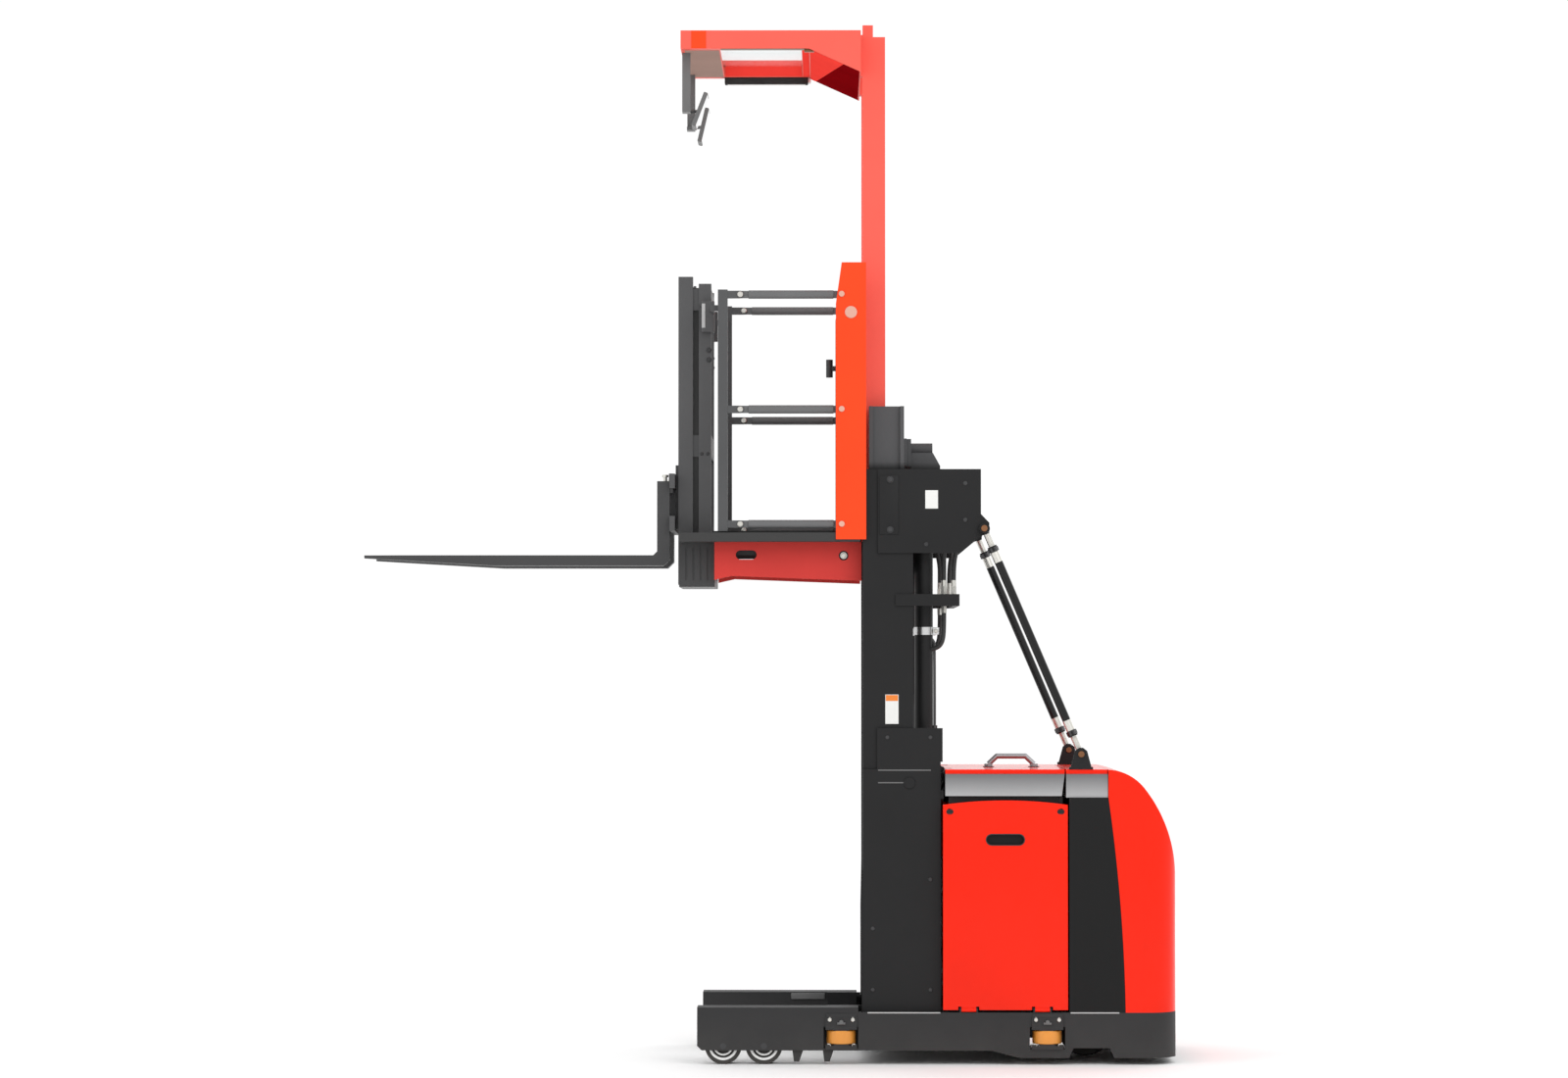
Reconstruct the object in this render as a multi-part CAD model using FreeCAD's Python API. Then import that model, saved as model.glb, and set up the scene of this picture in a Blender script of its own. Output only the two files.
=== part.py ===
"""High-lift order picker: rider platform and auxiliary forks on a two-stage mast, with straddle legs.

X runs forward, Y to the left, Z up from the floor. Lengths along X are counted from the rear end of the
truck, and every piece is moved back by half the overall length when it is saved, so the origin lies on the
floor below the middle of the truck.
"""
import FreeCAD
import Part
import math
import os

Vector = FreeCAD.Vector

# ---------------------------------------------------------------- overall
overall_length = 3340.0
half_width = 500.0
mast_rear = 1074.0
mast_depth = 206.0
mast_face = mast_rear + mast_depth
panel_gap = 6.0
pin_play = 0.3

# ---------------------------------------------------------------- base frame and legs
skirt_top = 212.0
skirt_bottom = 28.0
skirt_wall = 12.0
skirt_corner = 130.0
base_front = mast_face + 20.0
leg_front = mast_face + 676.0
leg_top = 232.0
leg_bottom = 58.0
leg_width = 130.0
leg_wall = 10.0
leg_nose = 18.0
skid_places = (mast_face + 142.0, mast_face + 266.0)
skid_bottom = 12.0
wheel_arch_rise = 68.0
wheel_arch_length = 148.0

# ---------------------------------------------------------------- wheels
load_wheel_radius = 75.0
load_wheel_width = 88.0
load_wheel_places = (mast_face + 404.0, mast_face + 570.0)
load_axle_radius = 12.5
drive_wheel_radius = 115.0
drive_wheel_width = 80.0
drive_wheel_place = 350.0
drive_shaft_radius = 20.0
drive_neck_radius = 110.0
drive_plate_bottom = 250.0
drive_plate_thickness = 14.0
motor_radius = 85.0
motor_height = 330.0
tray_rear = 480.0
tray_bottom = 100.0
tray_floor = 10.0
shoe_plate = 12.0
guide_roller_radius = 60.0
guide_roller_height = 54.0
guide_roller_bottom = 84.0
guide_roller_reach = 12.0
guide_roller_places = (530.0, mast_face + 89.0)
guide_pin_radius = 10.0
guide_arm = 8.0

# ---------------------------------------------------------------- battery bay and covers
bay_rear = 440.0
bay_front = 960.0
door_bottom = 222.0
door_side_height = 834.0
door_crown = 18.0
door_thickness = 25.0
door_skin = 4.0
door_set_back = 5.0
hinge_pin_radius = 5.0
hinge_eye_radius = 8.0
hinge_length = 60.0
hinge_spread = 300.0
hinge_room = 12.0
door_slot_half = 78.0
door_slot_low = 892.0
door_slot_high = 936.0
lock_inset = 28.0
lock_height = 1028.0
lock_half = 15.0
lock_depth = 3.0
battery_length = 440.0
battery_width = 760.0
battery_height = 700.0
pillar_wall = 20.0
pillar_top = 1086.0
band_bottom = 1092.0
hood_top = 1200.0
hood_wall = 8.0
hood_panel_thickness = 18.0
hood_panel_inset = 10.0
deck_front = 452.0
hood_lean = 12.0
hood_front = 944.0
cover_split_top = 280.0
cover_split_bottom = 212.0
cover_wall = 8.0
cover_shoulder = 740.0
cover_low_radius = 620.0
cover_high_radius = 200.0
handle_length = 212.0
handle_rise = 56.0
handle_place = 656.0
handle_radius = 11.0

# ---------------------------------------------------------------- fixed mast
mast_bottom = 70.0
mast_top = 2428.0
mid_tie_rear = 884.0
mid_tie_bottom = 1868.0
mid_tie_height = 48.0
mid_tie_thickness = 24.0
mid_tie_arm = 16.0
mid_strap = 8.0
mid_strap_front = 1146.0
mast_outer = 436.0
mast_web = 14.0
mast_flange = 20.0
mast_flange_width = 74.0
rear_pad_reach = 36.0
foot_front = mast_face + 4.0
foot_plate = 12.0
foot_step_rear = 954.0
foot_step_front = mast_face - 58.0
foot_step_top = 1368.0
head_rear = 796.0
head_front = mast_face - 62.0
head_bottom = 2084.0
head_plate = 10.0
head_chamfer_length = 84.0
head_chamfer_height = 70.0
tie_depth = 30.0
tie_height = 140.0
tie_ear = 11.0
barrel_place = 1028.0
barrel_spread = 300.0
barrel_radius = 38.0
barrel_bore = 31.0
barrel_bottom = 200.0
barrel_top = 2130.0
gland_height = 40.0
lift_rod_radius = 24.0
lift_rod_bottom = 520.0
brace_top = (784.0, 2184.0)
brace_bottom = (390.0, 1262.0)
brace_side = 468.0
brace_radius = 17.0
brace_screw_radius = 10.5
brace_pin_radius = 10.0
brace_eye_radius = 20.0
brace_eye_width = 24.0

# ---------------------------------------------------------------- moving mast
inner_gap = 6.0
inner_rear_gap = 8.0
inner_top = 2688.0
inner_bottom = 338.0
inner_web = 12.0
inner_web_place = 385.0
inner_flange = 16.0
inner_flange_width = 62.0
inner_tie_bottom = 2444.0
inner_tie_height = 112.0
yoke_top = 2500.0
yoke_rear = 960.0
hose_roller_radius = 28.0
free_place = 1032.0
free_barrel_radius = 36.0
free_barrel_bore = 29.0
free_barrel_bottom = 360.0
free_barrel_top = 1500.0
free_rod_radius = 22.0
free_rod_bottom = 1390.0
free_rod_top = 2440.0
chain_yoke_height = 20.0
chain_cheek_reach = 43.0
chain_cheek_top = 2548.0
chain_cheek = 12.0
chain_wheel_place = 2505.0
free_wheel_radius = 38.0
free_wheel_width = 44.0

# ---------------------------------------------------------------- platform and guard
carriage_web_gap = 7.0
carriage_bottom = 1990.0
carriage_top = 2640.0
carriage_plate = 16.0
carriage_clearance = 6.0
post_rear = mast_face - 94.0
post_split = mast_face - 44.0
post_front = mast_face - 1.0
post_width = 60.0
post_bottom = 2130.0
post_front_top = 4269.0
post_rear_top = 4220.0
post_wall = 5.0
rail_top = 4229.0
rail_height = 75.0
rail_front = mast_face + 747.0
rail_outer = 470.0
rail_width = 50.0
rail_wall = 5.0
front_bar_length = 150.0
front_bar_front = mast_face + 736.0
rear_bar_front = mast_face + 250.0
rear_bar_length = 56.0
guard_rear = mast_face + 7.0
gusset_front = mast_face + 220.0
gusset_drop = 96.0
gusset_thickness = 6.0
lamp_rear = mast_face + 227.0
lamp_length = 359.0
lamp_height = 30.0
lamp_width = 44.0
bracket_rear = mast_face + 710.0
bracket_depth = 34.0
bracket_drop = 245.0
bracket_thickness = 8.0
bracket_foot = 60.0
bracket_foot_height = 14.0
bracket_spread = 345.0
mirror_set_back = 38.0
mirror_rise = 12.0
mirror_half_width = 80.0
mirror_half_height = 74.0
mirror_thickness = 18.0
mirror_arm_radius = 7.0
floor_rear = mast_face + 10.0
floor_front = mast_face + 754.0
floor_top = 2168.0
floor_thickness = 36.0
beam_rear = mast_face + 5.0
beam_front = mast_face + 610.0
beam_bottom_rear = 1972.0
beam_bottom_front = 1992.0
beam_outer = 350.0
beam_plate = 8.0
panel_rear = mast_face - 14.0
panel_front = mast_face + 110.0
panel_outer = 460.0
panel_skin = 6.0
panel_bottom = 2140.0
panel_top = 3276.0
panel_chamfer_length = 24.0
panel_chamfer_height = 170.0
console_front = mast_face + 86.0
desk_front = mast_face + 108.0
desk_rear = mast_face + 36.0
desk_bottom = 2790.0
steering_radius = 68.0
steering_place = 2965.0
steering_side = -170.0
grip_side = 190.0
grip_front = mast_face + 150.0
grip_bottom = 2820.0
grip_top = 2894.0
grip_radius = 14.0
console_top = 3130.0
console_half_width = 300.0

# ---------------------------------------------------------------- side gates
gate_plane = 426.0
gate_tube_radius = 17.5
gate_tube_wall = 3.0
gate_rear_pivot = mast_face + 86.0
gate_front_pivot = mast_face + 502.0
gate_levels = (2203.0, 2674.0, 3146.0)
gate_post_rear = mast_face + 554.0
gate_post_depth = 40.0
gate_post_width = 30.0
gate_pin_radius = 8.0
gate_flat = 14.0
gate_lug = 6.0

# ---------------------------------------------------------------- auxiliary mast and forks
aux_rear = mast_face + 626.0
aux_front = mast_face + 762.0
aux_bottom = 1948.0
aux_top = 3235.0
aux_column_top = 3206.0
aux_column_depth = 52.0
aux_column_width = 40.0
aux_column_wall = 4.0
aux_rail_depth = 60.0
aux_outer = 250.0
aux_web = 10.0
aux_flange = 10.0
aux_flange_width = 46.0
aux_box_wall = 18.0
floor_notch_rear = mast_face + 608.0
floor_notch_half = 258.0
catch_low = 3003.0
catch_high = 3130.0
catch_arm_low = 3080.0
catch_arm_high = 3105.0
catch_plane = 402.0
aux_barrel_top = 2700.0
aux_barrel_radius = 28.0
aux_rod_radius = 15.0
aux_rod_bottom = 2320.0
aux_ram_rise = 54.0
aux_wheel_radius = 38.0
aux_wheel_width = 36.0
fork_plate_rear = mast_face + 774.0
fork_plate_thickness = 36.0
fork_plate_bottom = 2180.0
fork_plate_top = 2415.0
fork_plate_half_width = 330.0
shank_thickness = 52.0
shank_top = 2385.0
fork_spread = 250.0
fork_width = 100.0
blade_top = 2079.0
blade_thickness = 43.0
blade_taper_start = mast_face + 1520.0
tip_thickness = 12.0
tip_width = 60.0


# ================================================================ helpers
def box(x0, x1, y0, y1, z0, z1):
    return Part.makeBox(x1 - x0, y1 - y0, z1 - z0, Vector(x0, y0, z0))


def rod(start, end, radius):
    start, end = Vector(*start), Vector(*end)
    return Part.makeCylinder(radius, (end - start).Length, start, end - start)


def tube(start, end, radius, bore):
    return rod(start, end, radius).cut(rod(start, end, bore))


def slot_tool(x0, x1, y0, y1, z0, z1):
    """A slot with round ends, cut through along Y."""
    radius = (z1 - z0) / 2
    middle = z0 + radius
    ends = [rod((x, y0, middle), (x, y1, middle), radius) for x in (x0 + radius, x1 - radius)]
    return fuse(box(x0 + radius, x1 - radius, y0, y1, z0, z1), *ends)


def outline(points):
    return Part.Face(Part.makePolygon(points + points[:1]))


def side_plate(points, y0, y1):
    """A plate cut to an XZ outline, from y0 to y1."""
    return outline([Vector(x, y0, z) for x, z in points]).extrude(Vector(0, y1 - y0, 0))


def flat_plate(points, z0, z1):
    """A plate cut to an XY outline, from z0 to z1."""
    return outline([Vector(x, y, z0) for x, y in points]).extrude(Vector(0, 0, z1 - z0))


def mirrored(shape):
    return shape.mirror(Vector(0, 0, 0), Vector(0, 1, 0))


def both_sides(shape):
    return [shape, mirrored(shape)]


def fuse(*shapes):
    return shapes[0].multiFuse(list(shapes[1:])).removeSplitter()


def save(name, *solids):
    """Writes one node; its solids are moved so that the middle of the truck is the origin."""
    os.makedirs("parts", exist_ok=True)
    node = solids[0] if len(solids) == 1 else Part.makeCompound(list(solids))
    node = node.copy()
    node.translate(Vector(-overall_length / 2, 0, 0))
    node.exportStep("parts/" + name + ".step")


# ================================================================ base frame, legs, wheels
def rounded_plan(inset, front, z0, z1):
    """The truck's plan outline, rounded at both rear corners, moved in by inset."""
    side = half_width - inset
    radius = skirt_corner - inset
    middle = radius * (1 - math.sqrt(0.5))
    points = [(inset + radius, side), (inset + middle, side - middle), (inset, side - radius)]
    left = [Vector(x, y, z0) for x, y in points]
    right = [Vector(x, -y, z0) for x, y in points]
    edges = [
        Part.LineSegment(Vector(front, side, z0), left[0]),
        Part.Arc(*left),
        Part.LineSegment(left[2], right[2]),
        Part.Arc(*reversed(right)),
        Part.LineSegment(right[0], Vector(front, -side, z0)),
        Part.LineSegment(Vector(front, -side, z0), Vector(front, side, z0)),
    ]
    wire = Part.Wire([edge.toShape() for edge in edges])
    return Part.Face(wire).extrude(Vector(0, 0, z1 - z0))


def wheel_arch():
    centre = drive_wheel_place
    half = wheel_arch_length / 2
    slope = 18.0
    points = [
        (centre - half - slope, skirt_bottom - 1),
        (centre - half, wheel_arch_rise),
        (centre + half, wheel_arch_rise),
        (centre + half + slope, skirt_bottom - 1),
    ]
    return side_plate(points, -half_width - 1, half_width + 1)


def guide_pocket(place):
    clear = guide_roller_radius + 12
    low = guide_roller_bottom - guide_arm - 12
    high = guide_roller_bottom + guide_roller_height + guide_arm + 8
    inner = half_width + guide_roller_reach - 2 * guide_roller_radius - 10
    return box(place - clear, place + clear, inner, half_width + 1, low, high)


def base_frame():
    """Rear skirt with its top flange, battery tray, mast shoes and the drive plate on its posts."""
    skirt = rounded_plan(0, base_front, skirt_bottom, skirt_top)
    hollow = rounded_plan(skirt_wall, base_front - skirt_wall, skirt_bottom - 1, skirt_top + 1)
    walls = skirt.cut(hollow)
    inside = half_width - skirt_wall
    flange = rounded_plan(skirt_wall, bay_front, skirt_top - 10, skirt_top)
    flange = flange.cut(rounded_plan(72, bay_front + 1, skirt_top - 11, skirt_top + 1))
    floor = box(tray_rear, bay_front, -inside, inside, tray_bottom, tray_bottom + tray_floor)
    rear_wall = box(tray_rear, tray_rear + skirt_wall, -inside, inside, 60, skirt_top)
    front_wall = box(bay_front - skirt_wall, bay_front, -inside, inside, mast_bottom - 2, skirt_top)
    shoe = box(bay_front - 1, base_front - skirt_wall + 1, -inside, inside,
               mast_bottom - shoe_plate, mast_bottom)
    flanks = [box(mast_rear, mast_front(), mast_outer, inside, mast_bottom, skirt_top)]
    frame = fuse(walls, flange, floor, rear_wall, front_wall, shoe, *flanks,
                 *[mirrored(flank) for flank in flanks], drive_plate())
    throat = box(base_front - skirt_wall - 1, base_front + 1, -mast_outer, mast_outer,
                 mast_bottom, skirt_top + 1)
    frame = frame.cut(throat).cut(wheel_arch())
    pocket = guide_pocket(guide_roller_places[0])
    frame = frame.cut(pocket).cut(mirrored(pocket))
    slope = [(640, skirt_bottom - 1), (760, leg_bottom), (base_front + 1, leg_bottom),
             (base_front + 1, skirt_bottom - 1)]
    return frame.cut(side_plate(slope, -half_width - 1, half_width + 1))


def drive_plate():
    """The plate that carries the drive unit, on four posts that stand on the skirt's flange."""
    rear, front = 120.0, bay_rear - 4
    side = half_width - skirt_wall - 20
    top = drive_plate_bottom + drive_plate_thickness
    plate = box(rear, front, -side, side, drive_plate_bottom, top)
    plate = plate.cut(rod((drive_wheel_place, 0, drive_plate_bottom - 1),
                          (drive_wheel_place, 0, top + 1), drive_neck_radius + pin_play))
    posts = [box(x, x + 30, y, y + 30, skirt_top - 1, drive_plate_bottom + 1)
             for x in (rear + 20, front - 50) for y in (-side, side - 30)]
    return fuse(plate, *posts)


def leg():
    """The left straddle leg, a channel open below with a closed nose."""
    outer, inner = half_width, half_width - leg_width
    rear = base_front
    nose = [(rear, leg_bottom), (leg_front - leg_nose, leg_bottom), (leg_front, leg_bottom + leg_nose),
            (leg_front, leg_top), (rear, leg_top)]
    body = side_plate(nose, inner, outer)
    cavity = box(rear + leg_wall, leg_front - leg_wall, inner + leg_wall, outer - leg_wall,
                 leg_bottom - 1, leg_top - leg_wall)
    body = body.cut(cavity).cut(guide_pocket(guide_roller_places[1]))
    for place in load_wheel_places:
        hole = rod((place, inner - 1, load_wheel_radius), (place, outer + 1, load_wheel_radius),
                   load_axle_radius)
        body = body.cut(hole)
    return fuse(body, *[leg_skid(place) for place in skid_places])


def leg_skid(place):
    """Small tapered skid under the left leg, which meets the floor only on a bump."""
    top = leg_bottom + leg_wall
    shape = [(place - 22, top), (place - 22, leg_bottom), (place - 6, skid_bottom), (place + 16, skid_bottom),
             (place + 22, leg_bottom), (place + 22, top)]
    return side_plate(shape, half_width - 2 * leg_wall, half_width - leg_wall)


def leg_centre():
    return half_width - leg_width / 2


def load_axle(place):
    inner = half_width - leg_width
    return rod((place, inner, load_wheel_radius), (place, half_width, load_wheel_radius),
               load_axle_radius)


def load_wheel(place, side):
    """A polyurethane-tyred roller with a dished hub."""
    centre = side * leg_centre()
    half = load_wheel_width / 2
    low, high = (place, centre - half, load_wheel_radius), (place, centre + half, load_wheel_radius)
    wheel = rod(low, high, load_wheel_radius)
    wheel = wheel.makeChamfer(3, wheel.Edges[:1] + wheel.Edges[2:3])
    for end, away in ((centre - half, -1), (centre + half, 1)):
        face = (place, end + away, load_wheel_radius)
        floor = (place, end - away * 10, load_wheel_radius)
        wheel = wheel.cut(tube(face, floor, load_wheel_radius - 18, load_axle_radius + 12))
    return wheel.cut(rod((place, centre - half - 1, load_wheel_radius),
                         (place, centre + half + 1, load_wheel_radius), load_axle_radius + pin_play))


def guide_roller(place, side):
    centre = side * (half_width + guide_roller_reach - guide_roller_radius)
    top = guide_roller_bottom + guide_roller_height
    roller = rod((place, centre, guide_roller_bottom), (place, centre, top), guide_roller_radius)
    roller = roller.makeChamfer(3, [edge for edge in roller.Edges if edge.Closed])
    return roller.cut(rod((place, centre, guide_roller_bottom - 1), (place, centre, top + 1),
                          guide_pin_radius + pin_play))


def guide_bracket(place):
    """The left bracket of one guide roller: a face plate, two arms and the pin between them."""
    centre = half_width + guide_roller_reach - guide_roller_radius
    low, high = guide_roller_bottom, guide_roller_bottom + guide_roller_height
    half = guide_roller_radius + 4
    face = box(place - half, place + half, half_width, half_width + 6, high + 4, high + 54)
    top_arm = box(place - 30, place + 30, centre - 26, half_width + 6, high + pin_play, high + guide_arm)
    low_arm = box(place - 30, place + 30, centre - 26, half_width + 6, low - guide_arm, low - pin_play)
    hanger = box(place - 26, place + 26, half_width, half_width + 6, high + 1, high + 10)
    ears = [box(place + x - 9, place + x + 9, half_width, half_width + 6, low - 22, low - 2)
            for x in (-half + 9, half - 9)]
    foot = box(place - half, place + half, half_width, half_width + 6, low - 22, low - guide_arm + 1)
    pin = rod((place, centre, low - guide_arm), (place, centre, high + guide_arm), guide_pin_radius)
    return fuse(face, hanger, top_arm, low_arm, pin, foot, *ears)


def drive_unit():
    """Steered yoke: the slewing flange, the gearbox beside the wheel and the upright motor."""
    x, top = drive_wheel_place, drive_plate_bottom + drive_plate_thickness
    flange = rod((x, 0, top + pin_play), (x, 0, top + 24), drive_neck_radius + 30)
    neck = rod((x, 0, drive_plate_bottom - 6), (x, 0, top + 2), drive_neck_radius)
    gear_side = drive_wheel_width / 2 + 6
    gearbox = rod((x, gear_side, drive_wheel_radius), (x, gear_side + 50, drive_wheel_radius), 72)
    column = box(x - 60, x + 60, gear_side, gear_side + 50, drive_wheel_radius, drive_plate_bottom - 4)
    motor = rod((x, 0, top + 20), (x, 0, top + motor_height), motor_radius)
    shaft = rod((x, gear_side + 2, drive_wheel_radius),
                (x, -drive_wheel_width / 2 + 4, drive_wheel_radius), drive_shaft_radius)
    return fuse(flange, neck, gearbox, column, motor, shaft)


def drive_wheel():
    half = drive_wheel_width / 2
    x, z = drive_wheel_place, drive_wheel_radius
    wheel = rod((x, -half, z), (x, half, z), drive_wheel_radius)
    wheel = wheel.makeChamfer(4, [edge for edge in wheel.Edges if edge.Closed])
    wheel = wheel.cut(tube((x, -half - 1, z), (x, -half + 14, z), drive_wheel_radius - 30, 44))
    return wheel.cut(rod((x, -half - 1, z), (x, half + 1, z), drive_shaft_radius + pin_play))


# ================================================================ battery bay and covers
def battery():
    middle = (tray_rear + bay_front) / 2
    low = tray_bottom + tray_floor
    return box(middle - battery_length / 2, middle + battery_length / 2,
               -battery_width / 2, battery_width / 2, low, low + battery_height)


def door_hinge_places():
    middle = (bay_rear + bay_front) / 2
    return (middle - hinge_spread / 2, middle + hinge_spread / 2)


def battery_door():
    """The left door: a pressed pan with an arched top, a finger slot and a knuckle at each hinge."""
    rear, front = bay_rear + panel_gap, bay_front - panel_gap
    outer = half_width - door_set_back
    inner = outer - door_thickness

    def pan(inset, y0, y1):
        low = door_bottom + inset
        corner = door_bottom + door_side_height - inset
        crown = corner + door_crown
        left, right = Vector(rear + inset, y0, corner), Vector(front - inset, y0, corner)
        arc = Part.Arc(right, Vector((rear + front) / 2, y0, crown), left).toShape()
        foot_left, foot_right = Vector(rear + inset, y0, low), Vector(front - inset, y0, low)
        sides = Part.makePolygon([left, foot_left, foot_right, right])
        return Part.Face(Part.Wire([arc] + sides.Edges)).extrude(Vector(0, y1 - y0, 0))

    door = pan(0, inner, outer).cut(pan(door_thickness, inner - 1, outer - door_skin))
    middle = (bay_rear + bay_front) / 2
    slot = slot_tool(middle - door_slot_half, middle + door_slot_half, inner - 1, outer + 1,
                     door_slot_low, door_slot_high)
    door = door.cut(slot)
    for place in (rear + lock_inset, front - lock_inset):
        door = door.cut(slot_tool(place - lock_half, place + lock_half, outer - lock_depth, outer + 1,
                                  lock_height - 10, lock_height + 10))
    axis_y, axis_z = door_axis()
    knuckles = []
    for place in door_hinge_places():
        low, high = place - hinge_length / 2, place + hinge_length / 2
        room = box(low - 13, high + 13, inner - 1, outer + 10, door_bottom - 1, door_bottom + 14)
        door = door.cut(room)
        knuckle = rod((low, axis_y, axis_z), (high, axis_y, axis_z), hinge_eye_radius)
        web = box(low, high, axis_y - hinge_eye_radius, axis_y, axis_z, door_bottom + 20)
        bore = rod((low - 1, axis_y, axis_z), (high + 1, axis_y, axis_z), hinge_pin_radius + pin_play)
        knuckles.append(fuse(knuckle, web).cut(bore))
    return fuse(door, *knuckles)


def door_axis():
    return half_width - door_set_back, door_bottom


def door_hinges():
    """Pins and lugs for the left door, standing on the skirt."""
    axis_y, axis_z = door_axis()
    pieces = []
    for place in door_hinge_places():
        low, high = place - hinge_length / 2 - 1, place + hinge_length / 2 + 1
        pin = rod((low - 6, axis_y, axis_z), (high + 6, axis_y, axis_z), hinge_pin_radius)
        lugs = [fuse(rod((x, axis_y, axis_z), (x + 6, axis_y, axis_z), hinge_eye_radius),
                     box(x, x + 6, axis_y - hinge_eye_radius, axis_y + 5, skirt_top, axis_z))
                for x in (low - 6, high)]
        pieces.append(fuse(pin, *lugs))
    return pieces


def split_line(inset):
    """The curved edge between the dark pillar and the rear cover, as an arc in the side view."""
    top = Vector(cover_split_top - inset, 0, pillar_top)
    low = Vector(cover_split_bottom - inset, 0, skirt_top)
    middle = Vector(cover_split_bottom + 26 - inset, 0, 720)
    return Part.Arc(top, middle, low).toShape()


def rear_region(gap, top):
    """Everything behind the split line, as a thick slab to cut with."""
    arc = split_line(gap)
    start, end = arc.Vertexes[0].Point, arc.Vertexes[1].Point
    points = [end, Vector(-10, 0, end.z), Vector(-10, 0, top), Vector(start.x, 0, top), start]
    face = Part.Face(Part.Wire([arc] + Part.makePolygon(points).Edges))
    face.translate(Vector(0, -half_width - 10, 0))
    return face.extrude(Vector(0, 2 * half_width + 20, 0))


def cover_profile(inset):
    """Side view of the rear cover: upright, then two smooth arcs up to the flat top."""
    lean = cover_low_radius - cover_high_radius
    rise = hood_top - cover_high_radius - cover_shoulder
    turn = math.asin(rise / lean)
    crown = cover_low_radius - lean * math.cos(turn)
    low_radius = cover_low_radius - inset
    high_radius = cover_high_radius - inset

    def low_point(angle):
        return Vector(cover_low_radius - low_radius * math.cos(angle), 0,
                      cover_shoulder + low_radius * math.sin(angle))

    def high_point(angle):
        return Vector(crown - high_radius * math.cos(angle), 0,
                      hood_top - cover_high_radius + high_radius * math.sin(angle))

    low_arc = Part.Arc(low_point(0), low_point(turn / 2), low_point(turn)).toShape()
    half_way = (turn + math.pi / 2) / 2
    high_arc = Part.Arc(high_point(turn), high_point(half_way), high_point(math.pi / 2)).toShape()
    far = cover_split_top + 60
    rest = Part.makePolygon([high_point(math.pi / 2), Vector(far, 0, hood_top - inset),
                             Vector(far, 0, skirt_top - 1), Vector(inset, 0, skirt_top - 1),
                             low_point(0)])
    face = Part.Face(Part.Wire([low_arc, high_arc] + rest.Edges))
    face.translate(Vector(0, -half_width - 1, 0))
    return face.extrude(Vector(0, 2 * half_width + 2, 0))


def rear_cover():
    far = cover_split_top + 60
    outer = rounded_plan(0, far, skirt_top, hood_top + 1).common(cover_profile(0))
    inner = rounded_plan(cover_wall, far, skirt_top - 2, hood_top).common(cover_profile(cover_wall))
    return outer.cut(inner).common(rear_region(0, hood_top + 1))


def pillar():
    """The dark side panel between the battery door and the rear cover, left side."""
    slab = box(cover_split_bottom - 20, bay_rear, half_width - pillar_wall, half_width,
               skirt_top, pillar_top)
    return slab.cut(rear_region(-1.0, pillar_top + 1)).cut(rear_region(-1.0, pillar_top + 1))


def hood_shell(rear, front, low, top, wall, lean):
    """A hood rim open below; its rear wall leans forward by lean towards the bottom."""
    side = half_width - door_set_back
    outer = side_plate([(rear, top), (front, top), (front, low), (rear + lean, low)], -side, side)
    edges = [edge for edge in outer.Edges
             if abs(edge.Vertexes[0].Z - top) < 1 and abs(edge.Vertexes[1].Z - top) < 1
             and abs(edge.Vertexes[0].Y - edge.Vertexes[1].Y) < 1]
    outer = outer.makeFillet(wall, edges)
    hollow = [(rear + wall, top - wall), (front - wall, top - wall), (front - wall, low - 1),
              (rear + lean + wall, low - 1)]
    return outer.cut(side_plate(hollow, -side + wall, side - wall))


def rear_deck():
    """The fixed deck above the pillars: grey band with the red top, under the brace feet."""
    top = hood_top - hood_panel_thickness
    return hood_shell(cover_split_top + 2, deck_front, pillar_top, top, hood_wall, 0)


def deck_panel():
    side = half_width - door_set_back - hood_panel_inset
    return box(cover_split_top + 2, deck_front, -side, side, hood_top - hood_panel_thickness, hood_top)


def hood_axis():
    return bay_front - panel_gap - 2, hood_top


def hood_lid():
    """Grey hood rim and underside, with two hinge knuckles at its front top edge."""
    rear, front = deck_front + panel_gap, hood_front
    shell = hood_shell(rear, front, band_bottom, hood_top - hood_panel_thickness, hood_wall, hood_lean)
    axis_x, axis_z = hood_axis()
    knuckles = []
    for side in (-1, 1):
        y = side * hinge_spread
        low, high = y - hinge_length / 2, y + hinge_length / 2
        eye = rod((axis_x, low, axis_z), (axis_x, high, axis_z), hinge_eye_radius)
        strap = box(front - 30, axis_x, low, high, hood_top - hood_panel_thickness - 1, hood_top - 4)
        bore = rod((axis_x, low - 1, axis_z), (axis_x, high + 1, axis_z), hinge_pin_radius + pin_play)
        knuckles.append(fuse(eye, strap).cut(bore))
    return fuse(shell, *knuckles)


def hood_panel():
    rear, front = deck_front + panel_gap, hood_front
    side = half_width - door_set_back - hood_panel_inset
    panel = box(rear, front, -side, side, hood_top - hood_panel_thickness, hood_top)
    for y in (-hinge_spread, hinge_spread):
        reach = hinge_length / 2 + hinge_room
        panel = panel.cut(box(front - 31, front + 1, y - reach, y + reach,
                              hood_top - hood_panel_thickness - 1, hood_top + 1))
    return panel


def hood_handle():
    """Bent round bar with sloping legs, standing on the hood panel."""
    half, top = handle_length / 2, hood_top + handle_rise - handle_radius
    reach = 46.0
    bar = rod((handle_place - half + reach, 0, top), (handle_place + half - reach, 0, top), handle_radius)
    legs = []
    for way in (-1, 1):
        upper = (handle_place + way * (half - reach), 0, top)
        foot = (handle_place + way * (half - handle_radius), 0, hood_top + 12)
        legs.append(rod(upper, foot, handle_radius))
        legs.append(Part.makeSphere(handle_radius, Vector(*upper)))
        legs.append(rod((foot[0], 0, hood_top), (foot[0], 0, hood_top + 13), handle_radius + 6))
    return fuse(bar, *legs)


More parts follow.
